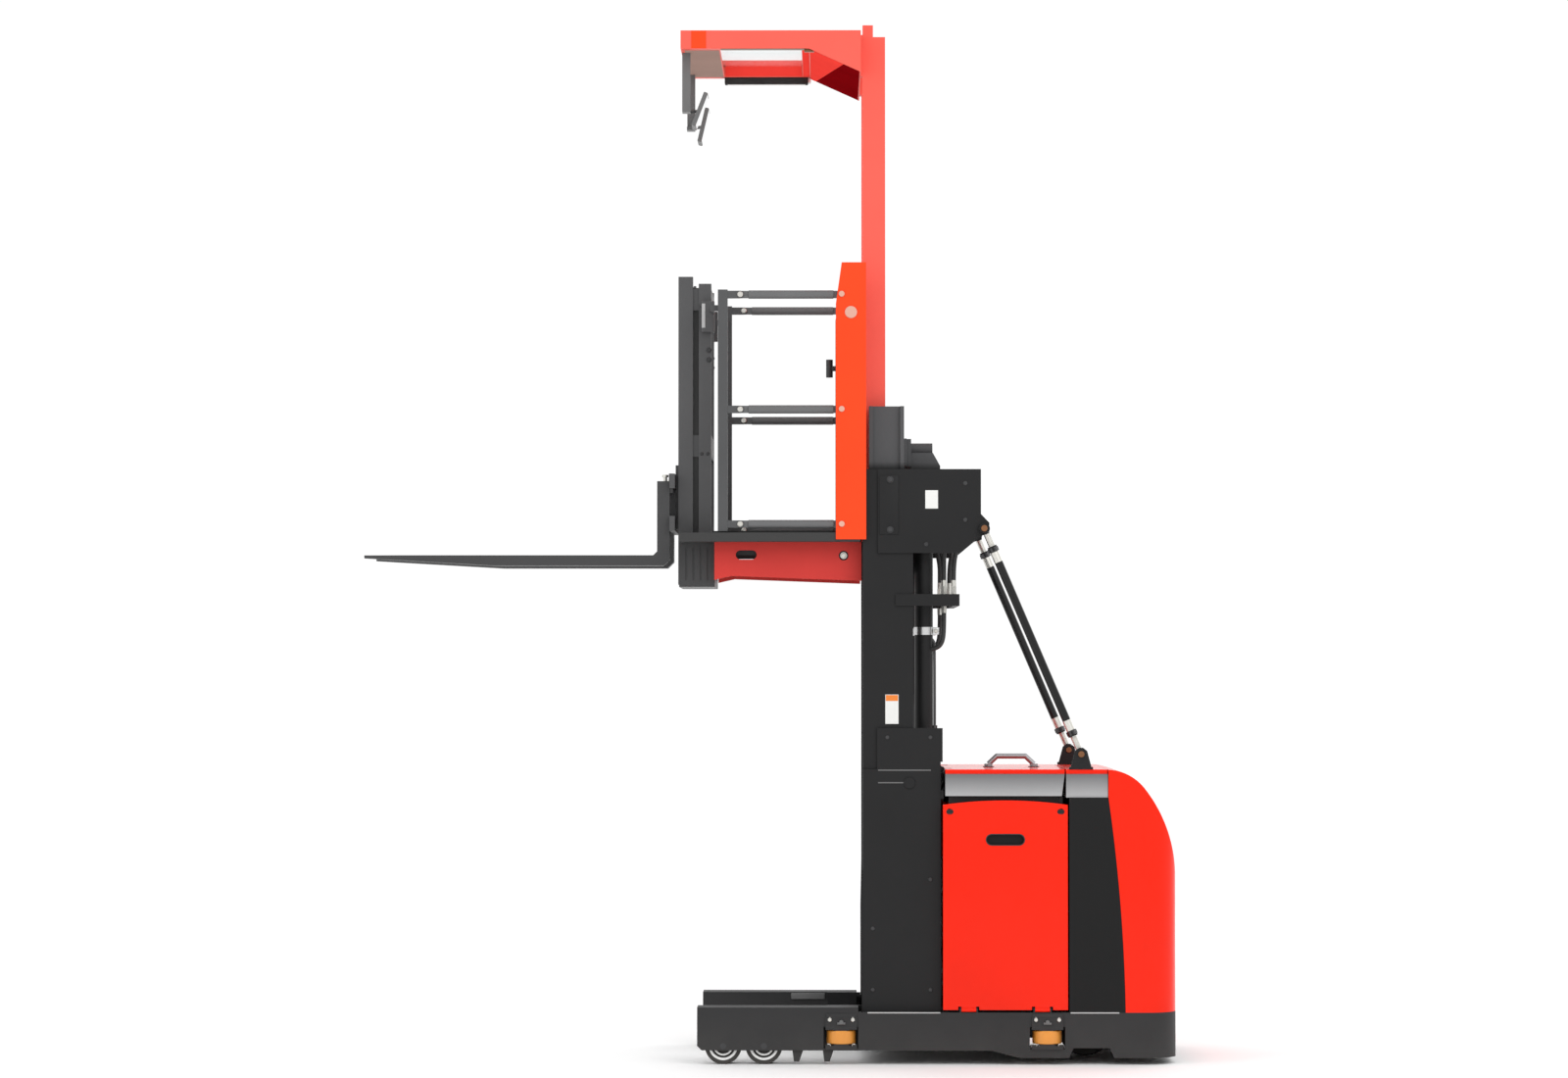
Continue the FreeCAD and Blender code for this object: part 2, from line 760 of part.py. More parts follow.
def hood_hinges():
    axis_x, axis_z = hood_axis()
    pieces = []
    for side in (-1, 1):
        y = side * hinge_spread
        low, high = y - hinge_length / 2 - 1, y + hinge_length / 2 + 1
        pin = rod((axis_x, low - 6, axis_z), (axis_x, high + 6, axis_z), hinge_pin_radius)
        lugs = [fuse(rod((axis_x, at, axis_z), (axis_x, at + 6, axis_z), hinge_eye_radius),
                     box(axis_x, bay_front + 4, at, at + 6, axis_z - 12, axis_z + hinge_eye_radius))
                for at in (low - 6, high)]
        pieces.append(fuse(pin, *lugs))
    return pieces


def bulkhead():
    """Wall between the battery bay and the mast, with the hood's hinge lugs welded to its top."""
    wall = box(bay_front, bay_front + 6, -mast_outer + foot_plate, mast_outer - foot_plate,
               mast_bottom, hood_top + 10)
    return fuse(wall, *hood_hinges())


# ================================================================ fixed mast
def channel(rear, front, outer, web, flange, width, low, high):
    """A left-hand mast channel: web outside, flanges pointing inward."""
    inner = outer - width
    section = [(rear, outer), (front, outer), (front, inner), (front - flange, inner),
               (front - flange, outer - web), (rear + flange, outer - web), (rear + flange, inner),
               (rear, inner)]
    return flat_plate(section, low, high)


def mast_front():
    return mast_face


def outer_mast():
    """Both fixed channels, their slide pads, and the tie that loops behind the lift cylinders."""
    left = channel(mast_rear, mast_front(), mast_outer, mast_web, mast_flange, mast_flange_width,
                   mast_bottom, mast_top)
    pads = [box(inner_front() + pin_play, mast_front() - mast_flange, mast_outer - mast_flange_width,
                mast_outer - mast_web, mast_top - 90, mast_top - 10),
            box(mast_rear + mast_flange, inner_rear() - pin_play, mast_outer - rear_pad_reach,
                mast_outer - mast_web, mast_top - 90, mast_top - 10)]
    tie_top = mid_tie_bottom + mid_tie_height
    arm = box(mid_tie_rear, mast_rear + 1, mast_outer - mid_tie_arm, mast_outer, mid_tie_bottom, tie_top)
    strap = box(mid_tie_rear, mid_strap_front, mast_outer - 1, mast_outer + mid_strap,
                mid_tie_bottom, tie_top)
    half = fuse(left, *pads, arm, strap)
    bar = box(mid_tie_rear, mid_tie_rear + mid_tie_thickness, -mast_outer, mast_outer,
              mid_tie_bottom, tie_top)
    return fuse(half, mirrored(half), bar)


def mast_foot():
    """Left foot plate outside the channel, with the step that carries its upper end."""
    plate = [(bay_front + 2, skirt_top), (foot_front, skirt_top), (foot_front, 600),
             (mast_front(), 800), (mast_front(), hood_top), (foot_step_front, hood_top),
             (foot_step_front, foot_step_top), (foot_step_rear, foot_step_top),
             (foot_step_rear, hood_top + 30), (bay_front + 2, hood_top + 30)]
    return side_plate(plate, mast_outer, mast_outer + foot_plate)


def leg_gusset():
    """The left gusset on the inner face of the leg, reaching back over the base to the mast foot."""
    inner = half_width - leg_width
    low = leg_bottom + 42
    shape = [(1424, low), (1424, leg_top), (foot_front + 1, leg_top), (foot_front + 1, skirt_top + 1),
             (base_front + 1, skirt_top + 1), (base_front + 1, low)]
    return side_plate(shape, inner - 14, inner)


def head_plate_shape():
    lug_x, lug_z = brace_top
    outer = [(head_rear, mast_top), (head_rear, lug_z + 60), (lug_x - 22, lug_z + 24),
             (lug_x - 22, lug_z - 20), (head_rear, head_bottom + head_chamfer_height),
             (head_rear + head_chamfer_length, head_bottom), (head_front, head_bottom),
             (head_front, mast_top)]
    return side_plate(outer, mast_outer, mast_outer + head_plate)


def mast_head():
    """Both head plates and the box beam between them at the rear, which the braces hold."""
    plate = head_plate_shape()
    beam_front = head_rear + 90
    beam = box(head_rear + 4, beam_front, -mast_outer, mast_outer, head_bottom + 96, mast_top - 20)
    hollow = box(head_rear + 14, beam_front + 1, -mast_outer + 1, mast_outer - 1,
                 head_bottom + 106, mast_top - 30)
    return fuse(plate, mirrored(plate), beam.cut(hollow))


def lift_barrel():
    x, y = barrel_place, barrel_spread
    barrel = tube((x, y, barrel_bottom), (x, y, barrel_top), barrel_radius, barrel_bore)
    base = rod((x, y, mast_bottom), (x, y, barrel_bottom), barrel_radius)
    gland = tube((x, y, barrel_top - gland_height), (x, y, barrel_top), barrel_radius + 5,
                 lift_rod_radius + pin_play)
    return fuse(barrel, base, gland)


def brace():
    """The left brace: a tube with a threaded fork end at the top and an eye at the foot."""
    (x1, z1), (x0, z0) = brace_top, brace_bottom
    y = brace_side
    span = math.hypot(x1 - x0, z1 - z0)
    ux, uz = (x1 - x0) / span, (z1 - z0) / span

    def along(distance):
        return (x0 + ux * distance, y, z0 + uz * distance)

    body = rod(along(90), along(span - 90), brace_radius)
    screws = rod(along(brace_eye_radius - 4), along(span - brace_eye_radius + 4), brace_screw_radius)
    nuts = [rod(along(at), along(at + 22), brace_radius + 3) for at in (80, span - 102)]
    half = brace_eye_width / 2
    strut = fuse(body, screws, *nuts)
    for x, z in (brace_bottom, brace_top):
        strut = fuse(strut, rod((x, y - half, z), (x, y + half, z), brace_eye_radius))
    for x, z in (brace_bottom, brace_top):
        strut = strut.cut(rod((x, y - half - 1, z), (x, y + half + 1, z), brace_pin_radius))
    return strut


def brace_foot():
    """Clevis for the left brace on the rear deck, with its pin."""
    x, z = brace_bottom
    half = brace_eye_width / 2 + 1
    cheek = [(x - 44, hood_top), (x + 44, hood_top), (x + 24, z + 14), (x + 8, z + 26),
             (x - 8, z + 26), (x - 24, z + 14)]
    cheeks = [side_plate(cheek, brace_side + half, brace_side + half + 8),
              side_plate(cheek, brace_side - half - 8, brace_side - half)]
    base = box(x - 48, x + 48, brace_side - half - 14, brace_side + half + 8, hood_top, hood_top + 10)
    pin = rod((x, brace_side - half - 12, z), (x, brace_side + half + 10, z), brace_pin_radius - 0.2)
    return fuse(base, pin, *cheeks)


def brace_ear():
    """Lug on the head plate's outside for the left brace's top eye, with its pin."""
    x, z = brace_top
    pin = rod((x, mast_outer + head_plate, z), (x, brace_side + brace_eye_width / 2 + 8, z),
              brace_pin_radius - 0.2)
    collar = rod((x, mast_outer + head_plate, z), (x, brace_side - brace_eye_width / 2 - 0.3, z), 24)
    return fuse(pin, collar)


# ================================================================ moving mast
def inner_rear():
    return mast_rear + mast_flange + inner_rear_gap + 8


def inner_front():
    return mast_front() - mast_flange - inner_gap


def inner_outer():
    return mast_outer - mast_web - inner_gap


def joist(rear, front, inner, outer, web, flange, low, high):
    """A left-hand mast upright of I section: a flange at each end and the web between them."""
    middle = inner_web_place
    section = [(rear, inner), (rear + flange, inner), (rear + flange, middle), (front - flange, middle),
               (front - flange, inner), (front, inner), (front, outer), (front - flange, outer),
               (front - flange, middle + web), (rear + flange, middle + web), (rear + flange, outer),
               (rear, outer)]
    return flat_plate(section, low, high)


def inner_mast():
    """Both moving uprights, their lower slide pads, and the top tie with the cylinder yokes."""
    reach = inner_outer() - inner_flange_width
    left = joist(inner_rear(), inner_front(), reach, inner_outer(), inner_web, inner_flange,
                 inner_bottom, inner_top)
    pads = [box(inner_front() - 1, mast_front() - mast_flange - pin_play, inner_outer() - 50,
                inner_outer(), inner_bottom + 20, inner_bottom + 120),
            box(mast_rear + mast_flange + pin_play, inner_rear() + 1, inner_outer() - 50,
                inner_outer(), inner_bottom + 20, inner_bottom + 120)]
    tie_front = inner_rear()
    tie_rear = tie_front - tie_depth
    top = inner_tie_bottom + inner_tie_height
    low = inner_bottom + 20
    ears = [box(tie_front - tie_ear, tie_front, reach - 10, reach + 40, z0, z1)
            for z0, z1 in ((inner_tie_bottom, top), (low, low + tie_height))]
    yoke = [(yoke_rear, mast_top), (tie_rear + 1, mast_top), (tie_rear + 1, yoke_top),
            (barrel_place - 38, yoke_top), (yoke_rear, mast_top + 18)]
    shelf = side_plate(yoke, barrel_spread - 30, barrel_spread + 30)
    half = fuse(left, *pads, *ears, shelf)
    tie = box(tie_rear, tie_front, -reach, reach, inner_tie_bottom, top)
    low_tie = box(tie_rear, tie_front, -reach, reach, low, low + tie_height)
    return fuse(half, mirrored(half), tie, low_tie)


def lift_rod():
    x, y = barrel_place, barrel_spread
    return rod((x, y, lift_rod_bottom), (x, y, mast_top), lift_rod_radius)


def hose_roller():
    """Guide roller housing for the hoses, lying on the left yoke."""
    y = barrel_spread - 70
    z = inner_tie_bottom + 72
    rear = barrel_place - 38
    front = inner_rear() - tie_depth
    return rod((rear, y, z), (front, y, z), hose_roller_radius)


def free_barrel():
    """Barrel of the free-lift cylinder, on a shelf of the lower tie, with its gland."""
    x = free_place
    barrel = tube((x, 0, free_barrel_bottom), (x, 0, free_barrel_top), free_barrel_radius, free_barrel_bore)
    plug = rod((x, 0, free_barrel_bottom), (x, 0, free_barrel_bottom + 60), free_barrel_radius)
    gland = tube((x, 0, free_barrel_top - 36), (x, 0, free_barrel_top), free_barrel_radius + 4,
                 free_rod_radius + pin_play)
    link = box(x + 10, inner_rear() - tie_depth, -24, 24, inner_bottom + 40, inner_bottom + 130)
    link = link.cut(rod((x, 0, inner_bottom), (x, 0, inner_bottom + 200), free_barrel_radius - 1))
    return fuse(barrel, plug, gland, link)


def free_ram():
    """Rod of the free-lift cylinder."""
    return rod((free_place, 0, free_rod_bottom), (free_place, 0, free_rod_top), free_rod_radius)


def chain_yoke():
    """Square-sided fork on the free-lift rod with the grooved chain wheel on its axle."""
    x, z = free_place, chain_wheel_place
    half = free_wheel_width / 2
    side = half + 2
    base = box(x - chain_cheek_reach, x + chain_cheek_reach, -side - chain_cheek, side + chain_cheek,
               free_rod_top, free_rod_top + chain_yoke_height)
    cheek = box(x - chain_cheek_reach, x + chain_cheek_reach, side, side + chain_cheek,
                free_rod_top + 1, chain_cheek_top)
    wheel = rod((x, -half, z), (x, half, z), free_wheel_radius)
    groove = tube((x, -half + 8, z), (x, half - 8, z), free_wheel_radius + 1, free_wheel_radius - 9)
    axle = rod((x, -side - chain_cheek, z), (x, side + chain_cheek, z), 10)
    return fuse(base, cheek, mirrored(cheek), wheel.cut(groove), axle)


# ================================================================ platform
def carriage_outer():
    return inner_outer() - inner_flange_width - carriage_web_gap


def carriage():
    """Side plates that run between the inner channels, their rollers, and two cross bars."""
    outer = carriage_outer()
    inner = outer - carriage_plate
    rear, front = inner_rear() + carriage_clearance, beam_rear
    shape = [(rear, carriage_bottom), (front, carriage_bottom), (front, post_bottom - 2),
             (inner_front() - 4, post_bottom + 60), (inner_front() - 4, carriage_top), (rear, carriage_top)]
    plate = side_plate(shape, inner, outer)
    middle = (inner_rear() + inner_front()) / 2
    radius = (inner_front() - inner_rear()) / 2 - inner_flange - 0.5
    reach = inner_web_place - 3
    rollers = [rod((middle, outer - 1, z), (middle, reach, z), radius)
               for z in (carriage_bottom + radius + 30, carriage_top - radius - 10)]
    collars = [rod((middle, outer - 2, z), (middle, outer + 4, z), 30)
               for z in (carriage_bottom + radius + 30, carriage_top - radius - 10)]
    spaced = [roller.cut(tube((middle, outer - 2, roller.BoundBox.Center.z),
                              (middle, outer + 4, roller.BoundBox.Center.z), radius + 1, 30))
              for roller in rollers]
    half = fuse(plate, *collars, *spaced)
    bars = [box(rear, rear + 26, -inner - 1, inner + 1, z, z + 90)
            for z in (carriage_bottom + 10, carriage_top - 100)]
    return fuse(half, mirrored(half), *bars)


def guard_post():
    """The left guard post: two square tubes side by side, the front one taller."""
    outer = carriage_outer() - carriage_plate
    inner = outer - post_width
    front = box(post_split, post_front, inner, outer, post_bottom, post_front_top)
    rear = box(post_rear, post_split, inner, outer, post_bottom, post_rear_top)
    hollow = box(post_rear + post_wall, post_front - post_wall, inner + post_wall, outer - post_wall,
                 post_bottom - 1, post_rear_top - post_wall)
    return fuse(front, rear).cut(hollow)


def guard_roof():
    """Side rails, front and middle bars, and the wedge-shaped rear box that the posts carry."""
    bottom = rail_top - rail_height
    rail = box(guard_rear, rail_front, rail_outer - rail_width, rail_outer, bottom, rail_top)
    rail = rail.cut(box(guard_rear + 40, rail_front - rail_wall, rail_outer - rail_width + rail_wall,
                        rail_outer - rail_wall, bottom + rail_wall, rail_top - rail_wall))
    wedge = [(guard_rear, rail_top), (guard_rear, bottom - gusset_drop), (gusset_front, bottom),
             (gusset_front, rail_top)]
    cheek = side_plate(wedge, rail_outer - gusset_thickness, rail_outer)
    skin = [(guard_rear, bottom - gusset_drop), (gusset_front, bottom),
            (gusset_front, bottom + gusset_thickness), (guard_rear, bottom - gusset_drop + gusset_thickness)]
    slope = side_plate(skin, -rail_outer, rail_outer)
    back = box(guard_rear, guard_rear + gusset_thickness, -rail_outer, rail_outer,
               bottom - gusset_drop, rail_top)
    post_outer = carriage_outer() - carriage_plate
    seat = box(post_front, guard_rear + 1, post_outer - post_width, post_outer,
               bottom - gusset_drop, rail_top)
    inside = rail_outer - rail_width
    front = box(front_bar_front - front_bar_length, front_bar_front, -inside, inside, bottom, bottom + 12)
    nose = box(rail_front - 12, rail_front, -inside, inside, bottom, rail_top)
    middle = box(rear_bar_front - rear_bar_length, rear_bar_front, -inside, inside,
                 bottom + 4, bottom + 30)
    return fuse(rail, mirrored(rail), cheek, mirrored(cheek), slope, back, seat, mirrored(seat),
                front, nose, middle)


def roof_pane():
    bottom = rail_top - rail_height
    inside = rail_outer - rail_width
    return box(guard_rear + gusset_thickness, rail_front - 12, -inside, inside, rail_top - 30, rail_top - 22)


def guard_lamp():
    """Work lamp below the right-hand rail, with rounded lower edges."""
    bottom = rail_top - rail_height
    body = box(lamp_rear, lamp_rear + lamp_length, -rail_outer, -rail_outer + lamp_width,
               bottom - lamp_height, bottom)
    edges = [edge for edge in body.Edges
             if max(vertex.Z for vertex in edge.Vertexes) < bottom - lamp_height + 1]
    return body.makeFillet(6, edges)


def mirror_bracket(side, tilt):
    """One hanging bracket with its tilted mirror, below the guard's front plate."""
    top = rail_top - rail_height
    low = top - bracket_drop
    outer = side * bracket_spread
    inner = outer - side * bracket_thickness
    foot = inner - side * bracket_foot
    rear, front = bracket_rear, bracket_rear + bracket_depth
    strap = box(rear, front, min(outer, inner), max(outer, inner), low, top)
    hub = box(rear, front, min(inner, foot), max(inner, foot), low,
              low + bracket_foot_height)
    face = box(-mirror_thickness / 2, mirror_thickness / 2, -mirror_half_width, mirror_half_width,
               -mirror_half_height, mirror_half_height)
    face = face.makeFillet(4, face.Edges)
    face.rotate(Vector(0, 0, 0), Vector(0, 1, 0), -tilt)
    face.translate(Vector(rear - mirror_set_back, foot - side * 10, low + mirror_rise))
    arm = rod((rear + 15, foot + side * 10, low + bracket_foot_height / 2),
              (rear - mirror_set_back, foot - side * 10, low + mirror_rise), mirror_arm_radius)
    return fuse(strap, hub, arm, face)


def platform_floor():
    """Floor plate between the side panels, notched at the front for the auxiliary mast."""
    side = panel_outer - panel_skin
    low = floor_top - floor_thickness
    plate = box(floor_rear, floor_front, -side, side, low, floor_top)
    notch = box(floor_notch_rear, floor_front + 1, -floor_notch_half, floor_notch_half,
                low - 1, floor_top + 1)
    return plate.cut(notch)


def floor_mat():
    side = panel_outer - panel_skin - 50
    return box(console_front + 10, aux_rear - 10, -side, side, floor_top, floor_top + 8)


def under_frame():
    """Two deep side beams with slots and holes, and three cross members, below the floor."""
    top = floor_top - floor_thickness
    shape = [(beam_rear, beam_bottom_rear), (beam_front - 70, beam_bottom_front),
             (beam_front, beam_bottom_rear + 4), (beam_front, top), (beam_rear, top)]
    beam = side_plate(shape, beam_outer - beam_plate, beam_outer)
    slot = slot_tool(1716, 1802, beam_outer - beam_plate - 1, beam_outer + 1, 2060, 2098)
    hole = rod((1358, beam_outer - beam_plate - 1, 2076), (1358, beam_outer + 1, 2076), 20)
    beam = beam.cut(slot).cut(hole)
    flange = box(beam_rear, beam_front - 70, beam_outer - 60, beam_outer, top - beam_plate, top)
    crosses = [box(x, x + beam_plate, -beam_outer + 1, beam_outer - 1, beam_bottom_front + 20, top)
               for x in (beam_rear, 1560, beam_front - beam_plate)]
    return fuse(beam, mirrored(beam), flange, mirrored(flange), *crosses)


def side_panel():
    """The left side panel: a folded plate with a sloped upper front corner and a rear return."""
    shape = [(panel_rear, panel_bottom), (panel_front, panel_bottom),
             (panel_front, panel_top - panel_chamfer_height),
             (panel_front - panel_chamfer_length, panel_top), (panel_rear, panel_top)]
    skin = side_plate(shape, panel_outer - panel_skin, panel_outer)
    for z in gate_levels:
        skin = skin.cut(rod((gate_rear_pivot, panel_outer - 20, z), (gate_rear_pivot, panel_outer + 1, z),
                            gate_pin_radius))
    return skin


def gate_pins():
    """The three rear pivot pins of the left gate, through the side panel."""
    pins = []
    for z in gate_levels:
        pins.append(rod((gate_rear_pivot, gate_plane - gate_tube_radius, z),
                        (gate_rear_pivot, panel_outer + 3, z), gate_pin_radius))
    return pins


def panel_carrier():
    """The left upright that carries the side panel, from the floor to the post."""
    outer = panel_outer - panel_skin
    strip = box(panel_rear + 24, panel_rear + 54, gate_plane - 60, outer, floor_top, panel_top - 60)
    return strip.cut(box(panel_rear + 23, panel_rear + 49, gate_plane - 61, outer - 5,
                         floor_top - 1, panel_top - 59))


def console():
    """The operator's console against the mast side: a cabinet with a leaning control desk."""
    rear = post_front + 8
    shape = [(rear, floor_top), (console_front, floor_top), (console_front, desk_bottom - 30),
             (desk_front, desk_bottom), (desk_rear, console_top), (rear, console_top)]
    body = side_plate(shape, -console_half_width, console_half_width)
    tray = box(desk_front - 60, desk_front + 1, -60, 60, desk_bottom + 40, desk_bottom + 110)
    knees = box(console_front - 24, console_front + 1, -console_half_width + 40, console_half_width - 40,
                floor_top + 60, desk_bottom - 120)
    return body.cut(tray).cut(knees)


def desk_face(z):
    """X of the desk's leaning face at a height."""
    share = (z - desk_bottom) / (console_top - desk_bottom)
    return desk_front + (desk_rear - desk_front) * share


def steering_disc():
    """Small steering wheel with its knob, on a short column square to the desk face."""
    x, y, z = desk_face(steering_place), steering_side, steering_place
    lean = math.atan2(desk_front - desk_rear, console_top - desk_bottom)
    out = Vector(math.cos(lean), 0, math.sin(lean))
    foot = Vector(x, y, z)
    column = Part.makeCylinder(22, 16, foot - out * 2, out)
    disc = Part.makeCylinder(steering_radius, 12, foot + out * 12, out)
    disc = disc.makeFillet(4, disc.Edges[:1])
    knob = Part.makeCylinder(12, 18, foot + out * 20 + Vector(0, steering_radius - 18, 0), out)
    return fuse(column, disc, knob)


def control_head():
    """Lift control: a short stem with an upright grip."""
    middle = (grip_bottom + grip_top) / 2
    front = grip_front - grip_radius
    stem = rod((desk_face(middle) - 4, grip_side, middle), (front, grip_side, middle), 11)
    grip = rod((front, grip_side, grip_bottom), (front, grip_side, grip_top), grip_radius)
    return fuse(stem, grip)


# ================================================================ side gates
def gate_bar(level, side):
    """One gate bar with flattened, drilled ends."""
    z, y = gate_levels[level], gate_plane
    rear, front = gate_rear_pivot, gate_front_pivot
    neck = 34
    body = tube((rear + neck, y, z), (front - neck, y, z), gate_tube_radius,
                gate_tube_radius - gate_tube_wall)
    ends = []
    for pivot, way in ((rear, 1), (front, -1)):
        flat = box(min(pivot, pivot + way * (neck + 8)), max(pivot, pivot + way * (neck + 8)),
                   y - gate_flat / 2, y + gate_flat / 2, z - 15, z + 15)
        nose = rod((pivot, y - gate_flat / 2, z), (pivot, y + gate_flat / 2, z), 15)
        hole = rod((pivot, y - gate_flat, z), (pivot, y + gate_flat, z), gate_pin_radius + pin_play)
        ends.append(fuse(flat, nose).cut(hole))
    bar = fuse(body, *ends)
    return bar if side > 0 else mirrored(bar)


def gate_post(side):
    """The gate's front upright, with a forked lug and pin for each bar."""
    y = gate_plane
    half = gate_post_width / 2
    low, high = floor_top + panel_gap, gate_levels[2] + 20
    post = box(gate_post_rear, gate_post_rear + gate_post_depth, y - half, y + half, low, high)
    post = post.cut(box(gate_post_rear + 3, gate_post_rear + gate_post_depth - 3, y - half + 3, y + half - 3,
                        low - 1, high - 3))
    pieces = [post]
    near = gate_flat / 2 + 1
    for z in gate_levels:
        for start in (y + near, y - near - gate_lug):
            eye = rod((gate_front_pivot, start, z), (gate_front_pivot, start + gate_lug, z), 15)
            web = box(gate_front_pivot, gate_post_rear + 2, start, start + gate_lug, z - 15, z + 15)
            pieces += [eye, web]
        pieces.append(rod((gate_front_pivot, y - near - gate_lug - 3, z),
                          (gate_front_pivot, y + near + gate_lug + 3, z), gate_pin_radius))
    post = fuse(*pieces)
    return post if side > 0 else mirrored(post)


# ================================================================ auxiliary mast and forks
def aux_mast():
    """Two channels for the fork carriage, a column behind each, their ties, and the lift barrel."""
    rail_rear = aux_front - aux_rail_depth
    column_front = aux_rear + aux_column_depth
    foot = aux_bottom + 10
    rail = channel(rail_rear, aux_front, aux_outer, aux_web, aux_flange, aux_flange_width, foot, aux_top)
    column = box(aux_rear, column_front, aux_outer - aux_column_width, aux_outer, foot, aux_column_top)
    wall = aux_column_wall
    column = column.cut(box(aux_rear + wall, column_front - wall, aux_outer - aux_column_width + wall,
                            aux_outer - wall, foot - 1, aux_column_top - wall))
    cleats = [box(column_front - 1, rail_rear + 1, aux_outer - 30, aux_outer - 10, z, z + 90)
              for z in aux_tie_places()]
    half = fuse(rail, column, *cleats, gate_catch())
    inside = aux_outer - aux_column_width + 1
    ties = [box(aux_rear, aux_rear + 14, -inside, inside, z, z + 90) for z in aux_tie_places()]
    x = aux_cylinder_place()
    low = aux_bottom + 60
    barrel = tube((x, 0, low), (x, 0, aux_barrel_top), aux_barrel_radius, aux_barrel_radius - 6)
    plug = rod((x, 0, low), (x, 0, low + 40), aux_barrel_radius)
    gland = tube((x, 0, aux_barrel_top - 26), (x, 0, aux_barrel_top), aux_barrel_radius,
                 aux_rod_radius + pin_play)
    links = [box(aux_rear + 13, x - aux_barrel_radius + 4, -20, 20, z + 20, z + 70)
             for z in aux_tie_places()[:2]]
    return fuse(half, mirrored(half), *ties, barrel, plug, gland, *links)


def aux_tie_places():
    return (aux_bottom + 40, floor_top + 320, aux_column_top - 110)


def gate_catch():
    """Catch that holds the left gate's upright: a housing on the column and an arm beside the upright."""
    front = aux_rear + aux_column_depth - 12
    housing = box(aux_rear - 14, front, aux_outer - 1, aux_outer + 44, catch_low, catch_high)
    corners = [edge for edge in housing.Edges
               if abs(edge.Vertexes[0].Z - edge.Vertexes[1].Z) > 1 and edge.Vertexes[0].Y > aux_outer]
    housing = housing.makeFillet(8, corners)
    bar = box(aux_rear - 12, aux_rear, aux_outer + 40, catch_plane, catch_arm_low, catch_arm_high)
    arm = box(gate_post_rear + 12, aux_rear, catch_plane - 8, catch_plane, catch_arm_low, catch_arm_high)
    return fuse(housing, bar, arm)


def aux_cylinder_place():
    return (aux_rear + aux_front) / 2 - 10


def aux_ram():
    """Rod of the fork lift cylinder with its chain wheel."""
    x = aux_cylinder_place()
    half = aux_wheel_width / 2
    base = aux_barrel_top + aux_ram_rise
    stem = rod((x, 0, aux_rod_bottom), (x, 0, base + 6), aux_rod_radius)
    yoke = box(x - 20, x + 20, -half - 10, half + 10, base, base + 14)
    cheeks = [box(x - 16, x + 16, y, y + 8, base + 6, base + 68) for y in (-half - 10, half + 2)]
    z = base + 54
    wheel = rod((x, -half, z), (x, half, z), aux_wheel_radius)
    axle = rod((x, -half - 10, z), (x, half + 10, z), 8)
    return fuse(stem, yoke, *cheeks, wheel, axle)


def lower_box():
    """Open-fronted housing round the lower end of the auxiliary mast: rounded below, ribbed at the sides."""
    top = floor_top - floor_thickness
    wall = aux_box_wall
    rear, front = aux_rear - 16, aux_front - 4
    body = box(rear, front, -aux_outer - wall, aux_outer + wall, aux_bottom, top)
    low = [edge for edge in body.Edges
           if abs(edge.Vertexes[0].Z - aux_bottom) < 1 and abs(edge.Vertexes[1].Z - aux_bottom) < 1
           and abs(edge.Vertexes[0].X - edge.Vertexes[1].X) > 1]
    body = body.makeFillet(wall, low)
    body = body.cut(box(aux_rear, front + 5, -aux_outer, aux_outer, aux_bottom + 10, top + 1))
    step = (front - rear) / 5
    for number in range(1, 5):
        x = rear + number * step
        for side in (-1, 1):
            y0, y1 = sorted((side * (aux_outer + wall - 4), side * (aux_outer + wall + 1)))
            body = body.cut(box(x - 4, x + 4, y0, y1, aux_bottom + 30, top - 20))
    return body


def fork_carriage():
    """Fork plate with top and bottom hooks bars and the roller arms inside the channels."""
    half = fork_plate_half_width
    rear, front = fork_plate_rear, fork_plate_rear + fork_plate_thickness - 14
    bars = [box(rear, front, -half, half, fork_plate_bottom, fork_plate_bottom + 60),
            box(rear, front, -half, half, fork_plate_top - 60, fork_plate_top)]
    posts = [box(rear, front, y - 30, y + 30, fork_plate_bottom, fork_plate_top)
             for y in (-170, 170)]
    pieces = bars + posts
    inner_mouth = aux_outer - aux_flange_width - 6
    middle = aux_front - aux_rail_depth / 2
    radius = aux_rail_depth / 2 - aux_flange - 0.5
    for side in (-1, 1):
        y0, y1 = sorted((side * (inner_mouth - 16), side * inner_mouth))
        pieces.append(box(middle - 16, rear + 1, y0, y1, fork_plate_bottom + 10, fork_plate_top + 40))
        for z in (fork_plate_bottom + 74, fork_plate_top - 34):
            far = side * (aux_outer - aux_web - 3)
            pieces.append(rod((middle, side * (inner_mouth - 8), z), (middle, far, z), 12))
            near = side * (inner_mouth + 3)
            pieces.append(rod((middle, near, z), (middle, far, z), radius))
    return fuse(*pieces)


def fork():
    """The left fork: upright shank, heel and a blade that thins and narrows to the tip."""
    y = fork_spread
    shank_rear = fork_plate_rear + fork_plate_thickness - 14
    shank_front = shank_rear + shank_thickness
    tip = overall_length
    under = blade_top - blade_thickness
    profile = [(shank_rear, shank_top), (shank_rear, under + 26), (shank_rear + 26, under),
               (blade_taper_start, under), (tip, blade_top - tip_thickness), (tip, blade_top),
               (shank_front + 16, blade_top), (shank_front, blade_top + 16), (shank_front, shank_top)]
    blank = side_plate(profile, y - fork_width / 2, y + fork_width / 2)
    start = tip - 160
    trims = []
    for way in (-1, 1):
        edge = y + way * fork_width / 2
        corner = y + way * tip_width / 2
        outline = [(start, edge), (tip + 1, corner), (tip + 1, edge + way), (start, edge + way)]
        trims.append(flat_plate(outline, under - 1, shank_top + 1))
    return blank.cut(trims[0]).cut(trims[1])


